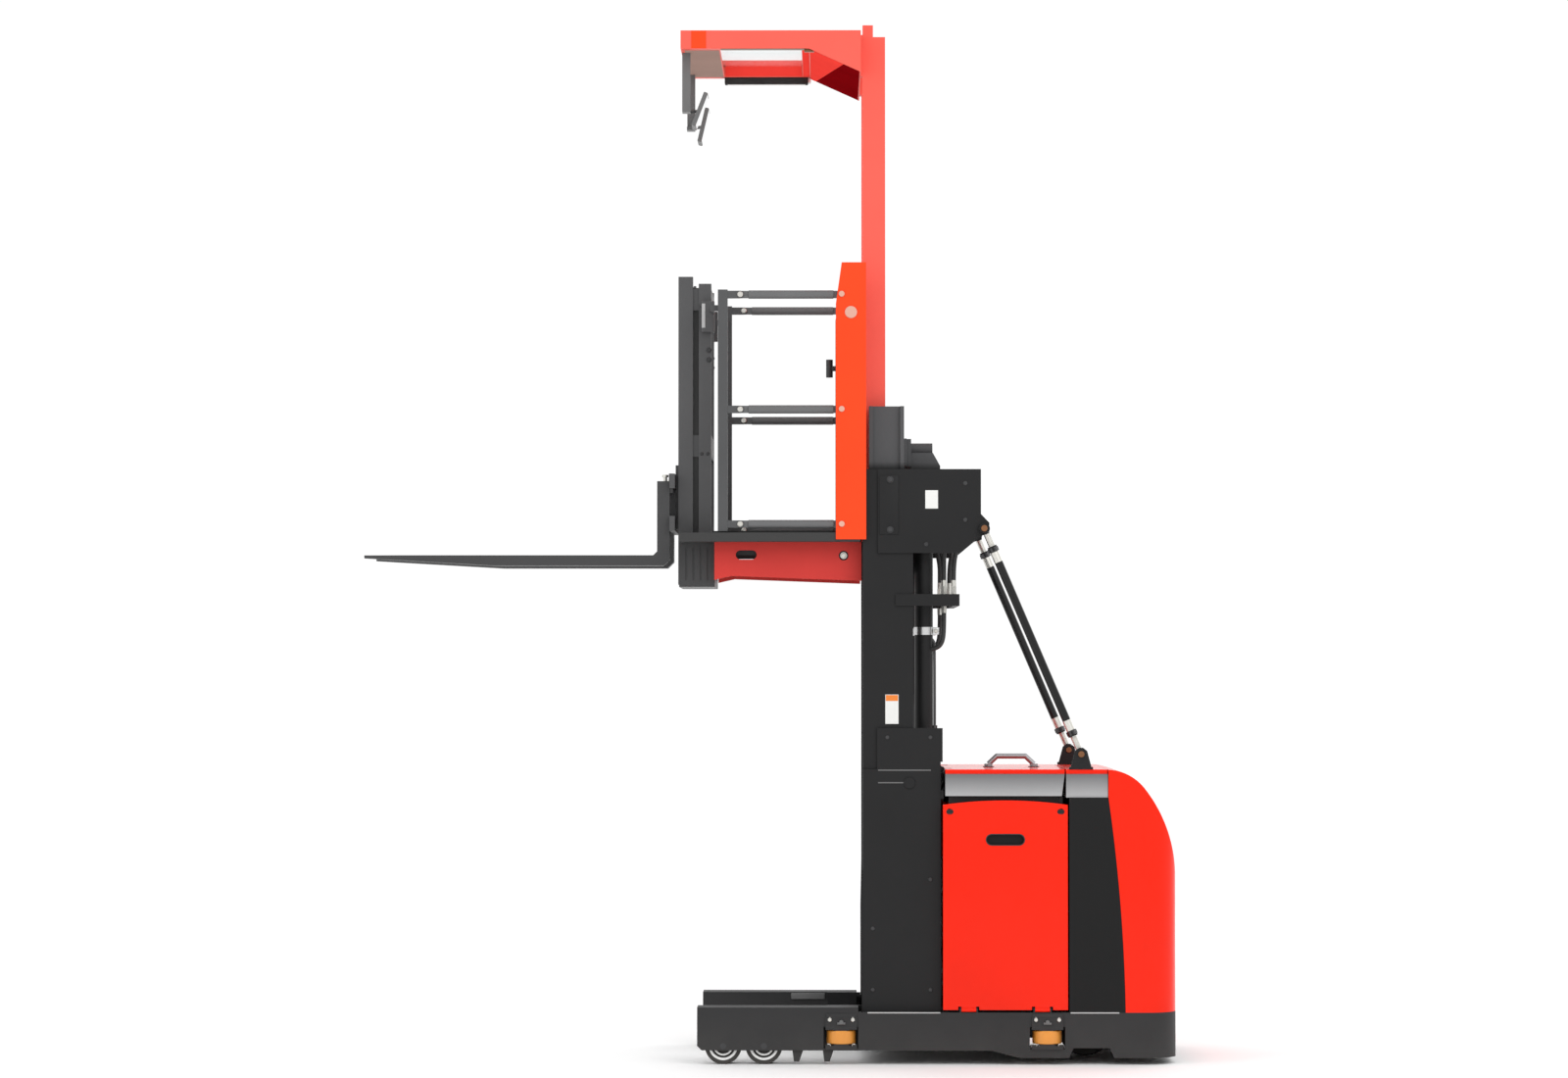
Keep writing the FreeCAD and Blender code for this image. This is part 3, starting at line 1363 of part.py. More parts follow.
# ================================================================ nodes
def build():
    save("base_frame", base_frame(), *[piece for hinge in door_hinges() for piece in both_sides(hinge)])
    for name, side in (("left", 1), ("right", -1)):
        save("straddle_leg_" + name, leg() if side > 0 else mirrored(leg()))
        door = battery_door()
        save("battery_door_" + name, door if side > 0 else mirrored(door))
        for place, end in zip(load_wheel_places, ("rear", "front")):
            save("load_wheel_" + name + "_" + end, load_wheel(place, side))
        for place, end in zip(guide_roller_places, ("rear", "front")):
            save("guide_roller_" + name + "_" + end, guide_roller(place, side))
        for level, word in enumerate(("bottom", "middle", "top")):
            save("gate_" + word + "_bar_" + name, gate_bar(level, side))
        save("gate_post_" + name, gate_post(side))
    axles = [load_axle(place) for place in load_wheel_places]
    save("load_wheel_axles", *axles, *[mirrored(axle) for axle in axles])
    save("guide_roller_brackets",
         *[piece for place in guide_roller_places for piece in both_sides(guide_bracket(place))])
    save("drive_unit", drive_unit())
    save("drive_wheel", drive_wheel())
    save("battery_block", battery())
    save("rear_pillars", *both_sides(pillar()))
    save("rear_cover", rear_cover(), deck_panel())
    save("rear_deck", rear_deck())
    save("hood_lid", hood_lid())
    save("hood_panel", hood_panel())
    save("hood_handle", hood_handle())
    save("outer_mast", outer_mast())
    save("mast_foot", bulkhead(), *both_sides(mast_foot()), *both_sides(leg_gusset()))
    save("mast_head", mast_head())
    save("lift_barrels", *both_sides(lift_barrel()))
    save("mast_braces", *both_sides(brace()))
    save("brace_fittings", *both_sides(brace_foot()), *both_sides(brace_ear()))
    save("inner_mast", inner_mast())
    save("lift_rods", *both_sides(lift_rod()))
    save("free_lift_barrel", free_barrel(), *both_sides(hose_roller()))
    save("free_lift_ram", free_ram())
    save("chain_yoke", chain_yoke())
    save("carriage", carriage())
    save("guard_posts", *both_sides(guard_post()))
    save("overhead_guard", guard_roof())
    save("roof_pane", roof_pane())
    save("guard_lamp", guard_lamp())
    save("mirrors", mirror_bracket(1, 21), mirror_bracket(-1, 13))
    save("platform_floor", platform_floor(), floor_mat())
    save("under_frame", under_frame())
    pins = [piece for pin in gate_pins() for piece in both_sides(pin)]
    save("side_panels", *both_sides(side_panel()), *both_sides(panel_carrier()), *pins)
    save("console", console(), control_head(), steering_disc())
    save("aux_mast", aux_mast())
    save("aux_ram", aux_ram())
    save("aux_lower_box", lower_box())
    save("fork_carriage", fork_carriage())
    save("forks", *both_sides(fork()))


build()
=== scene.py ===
"""Looks for the order picker: materials, small parts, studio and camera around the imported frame.

The frame is in metres: X runs forward along the forks, Y to the left, Z up from the floor.
"""
import math

import bmesh
import bpy
from mathutils import Matrix, Vector


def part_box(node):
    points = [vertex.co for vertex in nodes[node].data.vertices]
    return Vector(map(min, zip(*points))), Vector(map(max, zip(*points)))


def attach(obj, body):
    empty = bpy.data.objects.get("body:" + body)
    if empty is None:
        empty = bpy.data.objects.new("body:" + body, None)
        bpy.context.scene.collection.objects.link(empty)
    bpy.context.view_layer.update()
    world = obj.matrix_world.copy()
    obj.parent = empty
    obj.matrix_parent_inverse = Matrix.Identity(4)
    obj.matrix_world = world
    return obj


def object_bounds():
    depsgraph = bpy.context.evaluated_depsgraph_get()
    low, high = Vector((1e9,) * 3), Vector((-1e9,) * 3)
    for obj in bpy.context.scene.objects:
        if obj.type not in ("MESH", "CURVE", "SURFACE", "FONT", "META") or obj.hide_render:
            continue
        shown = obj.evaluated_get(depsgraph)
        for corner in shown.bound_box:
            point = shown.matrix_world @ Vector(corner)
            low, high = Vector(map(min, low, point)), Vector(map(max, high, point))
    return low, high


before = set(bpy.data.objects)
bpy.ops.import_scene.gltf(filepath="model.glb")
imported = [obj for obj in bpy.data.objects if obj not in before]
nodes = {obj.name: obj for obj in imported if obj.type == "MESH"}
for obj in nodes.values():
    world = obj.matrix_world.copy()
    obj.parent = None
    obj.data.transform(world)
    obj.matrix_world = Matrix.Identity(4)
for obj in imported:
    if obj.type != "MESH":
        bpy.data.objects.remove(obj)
cad_low, cad_high = [list(corner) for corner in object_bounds()]

SIDES = {1: "left", -1: "right"}
ACROSS = Vector((0, 1, 0))


# ---------------------------------------------------------------- materials
NOISE_LOW, NOISE_HIGH = 0.3, 0.7
ROUGH_DRIFT = 0.12
SCRATCH_START, SCRATCH_FULL = 0.72, 0.8
RELIEF_HEIGHT = 0.001


def ramp(tree, source, low, high):
    """Two-colour ramp over the values where most of a noise lies."""
    node = tree.nodes.new("ShaderNodeValToRGB")
    for stop, position, colour in zip(node.color_ramp.elements, (NOISE_LOW, NOISE_HIGH), (low, high)):
        stop.position = position
        stop.color = (*colour, 1)
    tree.links.new(source, node.inputs["Fac"])
    return node.outputs["Color"]


def noise(tree, place, scale, detail=4.0, rough=0.6, stretch=None):
    """Noise in the object's own coordinates, stretched along an axis where grain runs one way."""
    node = tree.nodes.new("ShaderNodeTexNoise")
    node.inputs["Scale"].default_value = scale
    node.inputs["Detail"].default_value = detail
    node.inputs["Roughness"].default_value = rough
    if stretch:
        mapping = tree.nodes.new("ShaderNodeMapping")
        mapping.inputs["Scale"].default_value = stretch
        tree.links.new(place, mapping.inputs["Vector"])
        place = mapping.outputs["Vector"]
    tree.links.new(place, node.inputs["Vector"])
    return node.outputs["Fac"]


def mix(tree, amount, first, colour):
    """A colour output blended towards a plain colour."""
    node = tree.nodes.new("ShaderNodeMix")
    node.data_type = "RGBA"
    tree.links.new(amount, node.inputs["Factor"])
    tree.links.new(first, node.inputs["A"])
    node.inputs["B"].default_value = (*colour, 1)
    return node.outputs["Result"]


def spread(tree, source, from_low, from_high, to_low, to_high):
    """A value carried from one range to another."""
    node = tree.nodes.new("ShaderNodeMapRange")
    tree.links.new(source, node.inputs["Value"])
    for name, value in zip(("From Min", "From Max", "To Min", "To Max"),
                           (from_low, from_high, to_low, to_high)):
        node.inputs[name].default_value = value
    return node.outputs["Result"]


def finish(name, colour, rough, metal=0.0, vary=0.06, grain=600.0, bump=0.04, stretch=None,
           coat=0.0, coat_rough=0.1, coat_ior=1.5, sheen=0.0, specular=0.5, fade=None,
           scratch=0.0, scratch_colour=(0.35, 0.35, 0.34),
           dust=0.0, dust_height=0.4, dust_colour=(0.2, 0.18, 0.16)):
    """A painted, moulded or bare surface: soft colour drift, fine grain, optional scratches and dust.

    fade holds two heights and the colour that the surface takes on between them; it paints light and shade
    by height.
    """
    material = bpy.data.materials.new(name)
    material.use_nodes = True
    tree = material.node_tree
    shader = tree.nodes["Principled BSDF"]
    for socket, value in (("Metallic", metal), ("Coat Weight", coat), ("Coat Roughness", coat_rough),
                          ("Coat IOR", coat_ior), ("Sheen Weight", sheen),
                          ("Specular IOR Level", specular)):
        shader.inputs[socket].default_value = value
    place = tree.nodes.new("ShaderNodeTexCoord").outputs["Object"]
    drift = noise(tree, place, 2.5, stretch=stretch)
    low = tuple(channel * (1 - vary) for channel in colour)
    high = tuple(min(channel * (1 + vary), 1) for channel in colour)
    skin = ramp(tree, drift, low, high)
    if scratch:
        marks = noise(tree, place, 9.0, detail=12.0, rough=0.75, stretch=(1, 1, 0.15))
        marks = spread(tree, marks, SCRATCH_START - scratch * 0.1, SCRATCH_FULL, 0, 1)
        skin = mix(tree, marks, skin, scratch_colour)
    parts = tree.nodes.new("ShaderNodeSeparateXYZ")
    tree.links.new(place, parts.inputs[0])
    height = parts.outputs["Z"]
    if fade:
        start, end, end_colour = fade
        skin = mix(tree, spread(tree, height, start, end, 0, 1), skin, end_colour)
    if dust:
        fall = spread(tree, height, 0, dust_height, dust, 0)
        cloud = noise(tree, place, 6.0, detail=8.0, rough=0.7)
        times = tree.nodes.new("ShaderNodeMath")
        times.operation = "MULTIPLY"
        tree.links.new(fall, times.inputs[0])
        tree.links.new(cloud, times.inputs[1])
        skin = mix(tree, times.outputs[0], skin, dust_colour)
    tree.links.new(skin, shader.inputs["Base Color"])
    fine = noise(tree, place, grain, detail=2.0, rough=0.5, stretch=stretch)
    dull = spread(tree, drift, NOISE_LOW, NOISE_HIGH, rough * (1 - ROUGH_DRIFT),
                  min(rough * (1 + ROUGH_DRIFT), 1))
    tree.links.new(dull, shader.inputs["Roughness"])
    relief = tree.nodes.new("ShaderNodeBump")
    relief.inputs["Strength"].default_value = bump
    relief.inputs["Distance"].default_value = RELIEF_HEIGHT
    tree.links.new(fine, relief.inputs["Height"])
    tree.links.new(relief.outputs["Normal"], shader.inputs["Normal"])
    return material


def pane(name, tint):
    """Clear sheet with faint smears."""
    material = finish(name, tint, 0.05, vary=0.03, grain=40, bump=0.02, specular=0.05)
    shader = material.node_tree.nodes["Principled BSDF"]
    shader.inputs["Transmission Weight"].default_value = 0.92
    shader.inputs["IOR"].default_value = 1.01
    return material


COVER_RED = finish("cover_red_paint", (0.84, 0.015, 0.001), 0.32, coat=0.5, coat_ior=1.22,
                   coat_rough=0.06, grain=900, bump=0.02, vary=0.04, dust=0.04, dust_height=0.9,
                   specular=0.1)
PANEL_RED = finish("panel_red_paint", (0.85, 0.055, 0.006), 0.4, grain=800, bump=0.03, vary=0.04,
                   scratch=0.1, scratch_colour=(0.5, 0.06, 0.04), specular=0.2)
GUARD_RED = finish("guard_red_paint", (0.83, 0.115, 0.085), 0.42, grain=700, vary=0.04,
                   scratch=0.1, scratch_colour=(0.6, 0.15, 0.12), specular=0.12)
DEEP_RED = finish("shaded_red_paint", (0.56, 0.045, 0.038), 0.5, grain=700, vary=0.08, specular=0.1)

MAST_COAT = dict(colour=(0.011, 0.011, 0.0115), rough=0.5, grain=850, bump=0.12, vary=0.14,
                 scratch=0.25, scratch_colour=(0.07, 0.07, 0.07), specular=0.22)
MAST_BLACK = finish("mast_powder_coat", **MAST_COAT)
# The inner mast's coat turns lighter grey above 2.43 m in its own frame: painted light on its top.
INNER_BLACK_LIT_TOP = finish("inner_mast_coat_painted_light", **MAST_COAT, fade=(2.43, 2.46, (0.075, 0.075, 0.078)))
# The yoke's grey is set far lighter than the mast's: painted light.
YOKE_LIT_GREY = finish("yoke_painted_light_grey", (0.3, 0.3, 0.303), 0.5, grain=700, bump=0.1, vary=0.1, specular=0.25)
CHASSIS_BLACK = finish("chassis_powder_coat", (0.026, 0.026, 0.027), 0.55, grain=700, bump=0.14,
                       vary=0.12, scratch=0.25, scratch_colour=(0.1, 0.1, 0.1), dust=0.3,
                       dust_height=0.25, dust_colour=(0.12, 0.11, 0.1), specular=0.22)
COVER_BLACK = finish("moulded_black_cover", (0.006, 0.006, 0.0062), 0.45, grain=1100, bump=0.16,
                     vary=0.08, specular=0.2)
BRACE_BLACK = finish("brace_enamel", (0.004, 0.004, 0.004), 0.25, coat=0.15, grain=500, bump=0.02,
                     vary=0.1, specular=0.25)
# The band darkens towards its top: painted shade.
BAND_GREY_SHADED_TOP = finish("moulded_grey_band_painted_shade", (0.35, 0.352, 0.356), 0.42, grain=1200, bump=0.14, vary=0.04,
                   specular=0.3, fade=(1.1, 1.175, (0.15, 0.15, 0.155)))
AUX_GREY = finish("auxiliary_mast_paint", (0.075, 0.075, 0.077), 0.45, grain=800, bump=0.1, vary=0.1,
                  scratch=0.3, scratch_colour=(0.18, 0.18, 0.18), specular=0.3)

TUBE_PAINT = dict(rough=0.38, grain=700, bump=0.06, vary=0.08, coat=0.1, specular=0.35)
GATE_GREY = finish("gate_tube_paint", (0.066, 0.067, 0.069), **TUBE_PAINT)
# Same tube paint as the posts, painted lighter on the bars for the light they catch.
BAR_GREY_LIT = finish("gate_bar_paint_painted_light", (0.12, 0.121, 0.123), **TUBE_PAINT)
FORK_BLACK = finish("fork_enamel", (0.045, 0.045, 0.046), 0.4, grain=400, bump=0.1, vary=0.14,
                    scratch=0.5, scratch_colour=(0.2, 0.2, 0.19), stretch=(0.2, 1, 1), specular=0.3)
BRIGHT_STEEL = finish("brushed_steel", (0.6, 0.6, 0.6), 0.28, metal=1.0, grain=1500, bump=0.05,
                      stretch=(0.1, 1, 1))
HANDLE_STEEL = finish("worn_handle_steel", (0.36, 0.36, 0.37), 0.35, metal=0.8, grain=1500, bump=0.05,
                      specular=0.3)
ZINC = finish("zinc_fasteners", (0.62, 0.61, 0.57), 0.35, metal=1.0, grain=900, bump=0.05, vary=0.1)
CHROME = finish("chromed_rod", (0.75, 0.76, 0.78), 0.08, metal=1.0, grain=900, bump=0.01, vary=0.03)
# Oiled steel for the brace pins; its dark brown also paints shade under the left roof rail.
BROWN_STEEL_AND_SHADE = finish("oiled_pin_steel_and_painted_shade", (0.2, 0.09, 0.04), 0.4, metal=0.7, bump=0.1, vary=0.3)
DARK_BOLT = finish("blackened_bolts", (0.05, 0.05, 0.052), 0.4, metal=0.6, grain=700, bump=0.08,
                   vary=0.2)
CAST_GREY = finish("cast_drive_unit", (0.08, 0.08, 0.085), 0.6, grain=300, bump=0.35, vary=0.15)
BRACKET_GREY = finish("bracket_paint", (0.12, 0.12, 0.12), 0.45, bump=0.08, vary=0.1)
MIRROR = finish("mirror_glass", (0.82, 0.83, 0.84), 0.04, metal=1.0, grain=60, bump=0.005, vary=0.02)

ROLLER = finish("roller_polyurethane", (0.75, 0.29, 0.04), 0.42, grain=500, bump=0.08, vary=0.08,
                dust=0.3, dust_height=0.3, dust_colour=(0.25, 0.14, 0.05))
TYRE = finish("wheel_polyurethane", (0.022, 0.021, 0.02), 0.55, grain=400, bump=0.12, vary=0.15,
              dust=0.25, dust_height=0.2, specular=0.3)
# Light grey hub rims, painted brighter for their highlights.
WHEEL_RIM_AND_HIGHLIGHT = finish("hub_rim_paint_and_highlight", (0.78, 0.78, 0.77), 0.45, grain=500, bump=0.08, vary=0.15)
RUBBER = finish("black_rubber", (0.016, 0.016, 0.016), 0.6, grain=900, bump=0.2, vary=0.1, sheen=0.1)
MAT_RUBBER = finish("floor_mat_rubber", (0.03, 0.03, 0.03), 0.75, grain=260, bump=0.6, vary=0.12)
BATTERY_GREY = finish("battery_case", (0.07, 0.075, 0.085), 0.6, grain=300, bump=0.2, vary=0.1)
CONSOLE_BLACK = finish("console_moulding", (0.03, 0.03, 0.032), 0.5, grain=900, bump=0.25)
SCREEN = finish("display_glass", (0.006, 0.008, 0.01), 0.08, grain=60, bump=0.0, vary=0.3)
LENS = finish("lamp_lens", (0.75, 0.76, 0.74), 0.2, grain=300, bump=0.15, vary=0.05)
CLEAR_PANE = pane("clear_roof_sheet", (0.93, 0.96, 0.96))

LABEL = finish("blank_label", (0.72, 0.72, 0.7), 0.45, grain=500, bump=0.03, vary=0.05)
LABEL_ORANGE = finish("label_orange", (0.75, 0.2, 0.02), 0.45, grain=500, bump=0.03)
# Light grey for the catch strips on the auxiliary mast, and for painted highlight lines along edges.
LIGHT_TRIM_AND_HIGHLIGHT = finish("light_trim_and_painted_highlight", (0.42, 0.42, 0.42), 0.5, grain=500, bump=0.05, vary=0.1)
PLUG_BEIGE = finish("beige_plugs", (0.66, 0.36, 0.28), 0.5, grain=500, bump=0.05, specular=0.2)

# Matt sheets that paint light and shade on the guard's red undersides.
PAINTED_UNDERSIDE_SHEET = dict(rough=0.8, grain=500, bump=0.06)
# Bright red: painted light on the guard's lit undersides, without their reflection.
LIT_UNDERSIDE_RED = finish("guard_underside_painted_light", (0.93, 0.06, 0.045), **PAINTED_UNDERSIDE_SHEET, vary=0.05, specular=0.0)
# Dark red: painted shade under the rear of the roof's wedge.
SHADED_UNDERSIDE_RED = finish("guard_underside_painted_shade", (0.2, 0.002, 0.004), **PAINTED_UNDERSIDE_SHEET, vary=0.1, specular=0.0)
# Taupe: painted shade under the roof's front bar.
SHADED_UNDERSIDE_TAUPE = finish("guard_underside_shade_taupe", (0.36, 0.24, 0.2), **PAINTED_UNDERSIDE_SHEET, vary=0.08, specular=0.03)
# Plain black for the lamp, the locks and the rails under the hood, and painted shade in the beams' holes and
# behind their slots.
BLACK_AND_SHADE = finish("black_and_painted_shade", (0.008, 0.008, 0.008), 0.7, grain=500, bump=0.1, vary=0.2)

NODE_FINISH = {
    "base_frame": CHASSIS_BLACK, "straddle_leg_left": CHASSIS_BLACK, "straddle_leg_right": CHASSIS_BLACK,
    "load_wheel_axles": DARK_BOLT, "guide_roller_brackets": CHASSIS_BLACK,
    "battery_block": BATTERY_GREY, "rear_pillars": COVER_BLACK, "rear_cover": COVER_RED,
    "rear_deck": BAND_GREY_SHADED_TOP, "mast_foot": MAST_BLACK, "outer_mast": MAST_BLACK, "mast_head": MAST_BLACK,
    "lift_barrels": MAST_BLACK, "mast_braces": BRACE_BLACK, "brace_fittings": MAST_BLACK,
    "hood_lid": BAND_GREY_SHADED_TOP, "hood_panel": COVER_RED, "hood_handle": HANDLE_STEEL,
    "battery_door_left": COVER_RED, "battery_door_right": COVER_RED, "inner_mast": INNER_BLACK_LIT_TOP,
    "lift_rods": CHROME, "free_lift_barrel": INNER_BLACK_LIT_TOP, "free_lift_ram": CHROME,
    "chain_yoke": YOKE_LIT_GREY,
    "carriage": MAST_BLACK, "guard_posts": GUARD_RED, "overhead_guard": GUARD_RED,
    "roof_pane": CLEAR_PANE, "guard_lamp": BLACK_AND_SHADE, "mirrors": BRACKET_GREY,
    "platform_floor": MAT_RUBBER, "under_frame": DEEP_RED, "side_panels": PANEL_RED,
    "console": CONSOLE_BLACK, "aux_mast": AUX_GREY, "aux_ram": CHROME, "aux_lower_box": FORK_BLACK,
    "fork_carriage": AUX_GREY, "forks": FORK_BLACK, "drive_unit": CAST_GREY, "drive_wheel": TYRE,
}


def node_finish(name):
    """The material of a CAD node: by name, or by its kind for wheels, rollers and gates."""
    if name in NODE_FINISH:
        return NODE_FINISH[name]
    if name.startswith("load_wheel"):
        return TYRE
    if name.startswith("guide_roller"):
        return ROLLER
    return BAR_GREY_LIT if "_bar_" in name else GATE_GREY


for node_name, node_piece in nodes.items():
    node_piece.data.materials.clear()
    node_piece.data.materials.append(node_finish(node_name))


# ---------------------------------------------------------------- shape helpers
SHARP_ANGLE = math.radians(35)
FULL_TURN = 2 * math.pi
SKIN_DEPTH = 0.0005


def add_object(name, data):
    """Puts an object with this mesh, curve, light or camera into the scene."""
    thing = bpy.data.objects.new(name, data)
    bpy.context.scene.collection.objects.link(thing)
    return thing


def new_piece(name, body, material, form):
    """Turns a bmesh into one smooth-shaded piece that rides on a body."""
    mesh = bpy.data.meshes.new(name)
    form.to_mesh(mesh)
    form.free()
    for polygon in mesh.polygons:
        polygon.use_smooth = True
    mesh.set_sharp_from_angle(angle=SHARP_ANGLE)
    mesh.materials.append(material)
    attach(add_object(name, mesh), body)


def new_forms(count):
    """Several empty bmeshes."""
    return [bmesh.new() for _ in range(count)]


def corners(name):
    """The low and high corners of a CAD node."""
    return [Vector(corner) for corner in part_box(name)]


def at(x, y, z):
    """A point whose X is counted forward from the truck's rear end."""
    return Vector((cad_low[0] + x, y, z))


def add_rod(form, start, end, radius, sides=24, end_radius=None):
    """A closed cylinder, or a cone where the end has a radius of its own."""
    start, end = Vector(start), Vector(end)
    span = end - start
    turn = span.to_track_quat("Z", "Y").to_matrix().to_4x4()
    bmesh.ops.create_cone(form, cap_ends=True, segments=sides, radius1=radius,
                          radius2=radius if end_radius is None else end_radius, depth=span.length,
                          matrix=Matrix.Translation((start + end) / 2) @ turn)


def add_disc(form, place, out, radius, height, rim=0.0015, sides=32):
    """A round cap with a chamfered outer edge."""
    place, out = Vector(place), Vector(out).normalized()
    shoulder = place + out * (height - rim)
    add_rod(form, place, shoulder, radius, sides)
    add_rod(form, shoulder, place + out * height, radius, sides, radius - rim)


def add_cube(form, matrix, bevel, segments):
    """A unit cube that a matrix places and scales, with bevelled edges."""
    made = bmesh.ops.create_cube(form, size=1, matrix=matrix)
    edges = list({edge for vertex in made["verts"] for edge in vertex.link_edges})
    bmesh.ops.bevel(form, geom=edges, offset=bevel, segments=segments, affect="EDGES", profile=0.5)


def add_block(form, low, high, bevel=0.0015, segments=2):
    """A block between two corners."""
    low, high = Vector(low), Vector(high)
    add_cube(form, Matrix.Translation((low + high) / 2) @ Matrix.Diagonal((*(high - low), 1)),
             bevel, segments)


def add_side_block(form, side, x, y, z, bevel=0.0015, segments=2):
    """A block on one side of the truck from three spans: X from the rear end, Y from the middle, Z."""
    y_low, y_high = sorted((side * y[0], side * y[1]))
    add_block(form, at(x[0], y_low, z[0]), at(x[1], y_high, z[1]), bevel, segments)


def add_leaning_block(form, centre, out, up, size, bevel, segments=2):
    """A block on a plane that leans in the XZ plane; size runs along out, Y and up."""
    turn = Matrix((out, ACROSS, up)).transposed().to_4x4()
    add_cube(form, Matrix.Translation(centre) @ turn @ Matrix.Diagonal((*size, 1)), bevel, segments)


def add_bolt(form, place, out, size):
    """Washer and chamfered hexagon head; size is half the head's width across corners."""
    place, out = Vector(place), Vector(out).normalized()
    washer, shoulder, top = (place + out * size * share for share in (0.2, 0.75, 0.9))
    add_rod(form, place - out * SKIN_DEPTH, washer, size * 1.25, 24)
    add_rod(form, washer, shoulder, size, 6)
    add_rod(form, shoulder, top, size, 6, size * 0.82)


def add_button(form, place, out, size):
    """Low domed screw head with a socket."""
    place, out = Vector(place), Vector(out).normalized()
    shoulder, top, socket = (place + out * size * share for share in (0.25, 0.5, 0.52))
    add_rod(form, place - out * SKIN_DEPTH, shoulder, size, 24)
    add_rod(form, shoulder, top, size, 24, size * 0.7)
    add_rod(form, top, socket, size * 0.4, 6)


def join_rows(form, rows):
    """Faces between neighbouring rows of vertices, closed both ways."""
    for index, first in enumerate(rows):
        second = rows[(index + 1) % len(rows)]
        for part in range(len(first)):
            after = (part + 1) % len(first)
            form.faces.new((first[part], second[part], second[after], first[after]))


def add_ring(form, centre, axis, radius, thickness, around=36, across=10):
    """A torus about an axis."""
    centre, axis = Vector(centre), Vector(axis).normalized()
    turn = axis.to_track_quat("Z", "Y")
    rows = []
    for step in range(around):
        angle = FULL_TURN * step / around
        spoke = Vector((math.cos(angle), math.sin(angle), 0))
        row = []
        for part in range(across):
            tilt = FULL_TURN * part / across
            reach, rise = radius + thickness * math.cos(tilt), thickness * math.sin(tilt)
            row.append(form.verts.new(centre + turn @ (spoke * reach + Vector((0, 0, rise)))))
        rows.append(row)
    join_rows(form, rows)


def add_slot_ring(form, centre, side, length, height, thickness):
    """A bead round a slot with round ends, lying in the XZ plane."""
    radius = height / 2
    reach = length / 2 - radius
    bends, across = 12, 8
    path = []
    for end in (1, -1):
        for step in range(bends + 1):
            angle = end * math.pi / 2 - math.pi * step / bends
            path.append(centre + Vector((end * reach + radius * math.cos(angle), 0,
                                         radius * math.sin(angle))))
    rows = []
    for index, point in enumerate(path):
        along = (path[(index + 1) % len(path)] - path[index - 1]).normalized()
        outward = along.cross(ACROSS)
        tilts = [FULL_TURN * part / across for part in range(across)]
        rows.append([form.verts.new(point + outward * thickness * math.cos(tilt)
                                    + ACROSS * side * thickness * math.sin(tilt)) for tilt in tilts])
    join_rows(form, rows)


def pipe(name, body, material, points, radius):
    """A fixed pipe or clamped hose through the given points, as a smooth NURBS sweep."""
    curve = bpy.data.curves.new(name, "CURVE")
    curve.dimensions = "3D"
    curve.bevel_depth = radius
    curve.bevel_resolution = 5
    curve.resolution_u = 10
    curve.use_fill_caps = True
    spline = curve.splines.new("NURBS")
    spline.points.add(len(points) - 1)
    for point, place in zip(spline.points, points):
        point.co = (*place, 1)
    spline.order_u = 3
    spline.use_endpoint_u = True
    curve.materials.append(material)
    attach(add_object(name, curve), body)


# ---------------------------------------------------------------- base, legs and wheels
CHASSIS_SIDE = corners("straddle_leg_left")[1].y


def base_trim():
    """Painted highlight lines along the top edge of the base, beside the doors and the mast."""
    top = 0.212
    form = bmesh.new()
    for side in SIDES:
        for span in ((0.238, 0.436), (0.966, 1.262)):
            add_side_block(form, side, span, (CHASSIS_SIDE - 0.004, CHASSIS_SIDE + 0.0008),
                           (top - 0.0035, top + 0.0015), SKIN_DEPTH, 1)
    new_piece("base_top_edge_painted_highlight", "chassis", LIGHT_TRIM_AND_HIGHLIGHT, form)


def roller_brackets():
    """Face plates, bolts and adjusters round the four guide rollers."""
    plates, bolts, screws = new_forms(3)
    plate_thickness, plate_reach = 0.004, 0.062
    for side, side_name in SIDES.items():
        out = (0, side, 0)
        face = CHASSIS_SIDE + plate_thickness
        for place in ("rear", "front"):
            low, high = corners("guide_roller_%s_%s" % (side_name, place))
            x = (low.x + high.x) / 2
            y_low, y_high = sorted((side * CHASSIS_SIDE, side * face))
            add_block(plates, (x - plate_reach, y_low, high.z + 0.022),
                      (x + plate_reach, y_high, high.z + 0.07))
            for way in (-1, 1):
                add_bolt(bolts, (x + way * 0.047, side * face, high.z + 0.045), out, 0.0085)
                add_bolt(bolts, (x + way * 0.051, side * (CHASSIS_SIDE - 0.001), low.z - 0.006), out, 0.0065)
            add_rod(screws, (x, side * (CHASSIS_SIDE + 0.003), high.z + 0.036),
                    (x, side * (CHASSIS_SIDE + 0.016), high.z + 0.036), 0.009, 6)
            add_rod(screws, (x - 0.016, side * (CHASSIS_SIDE + 0.009), high.z + 0.03),
                    (x + 0.016, side * (CHASSIS_SIDE + 0.009), high.z + 0.03), 0.005, 12)
    new_piece("guide_roller_plates", "chassis", CHASSIS_BLACK, plates)
    new_piece("guide_roller_bolts", "chassis", ZINC, bolts)
    new_piece("guide_roller_adjusters", "chassis", BRACKET_GREY, screws)


def wheel_hubs():
    """Light grey rings on both faces of each load wheel's hub, painted brighter to stand for the hub's
    highlights.
    """
    for side_name in SIDES.values():
        for place in ("rear", "front"):
            node = "load_wheel_%s_%s" % (side_name, place)
            low, high = corners(node)
            x, z = (low.x + high.x) / 2, (low.z + high.z) / 2
            form = bmesh.new()
            for face in (low.y + 0.002, high.y - 0.002):
                for radius, thickness, around in ((0.054, 0.0055, 48), (0.036, 0.004, 40)):
                    add_ring(form, (x, face, z), ACROSS, radius, thickness, around)
            new_piece(node + "_hub_rings", node, WHEEL_RIM_AND_HIGHLIGHT, form)


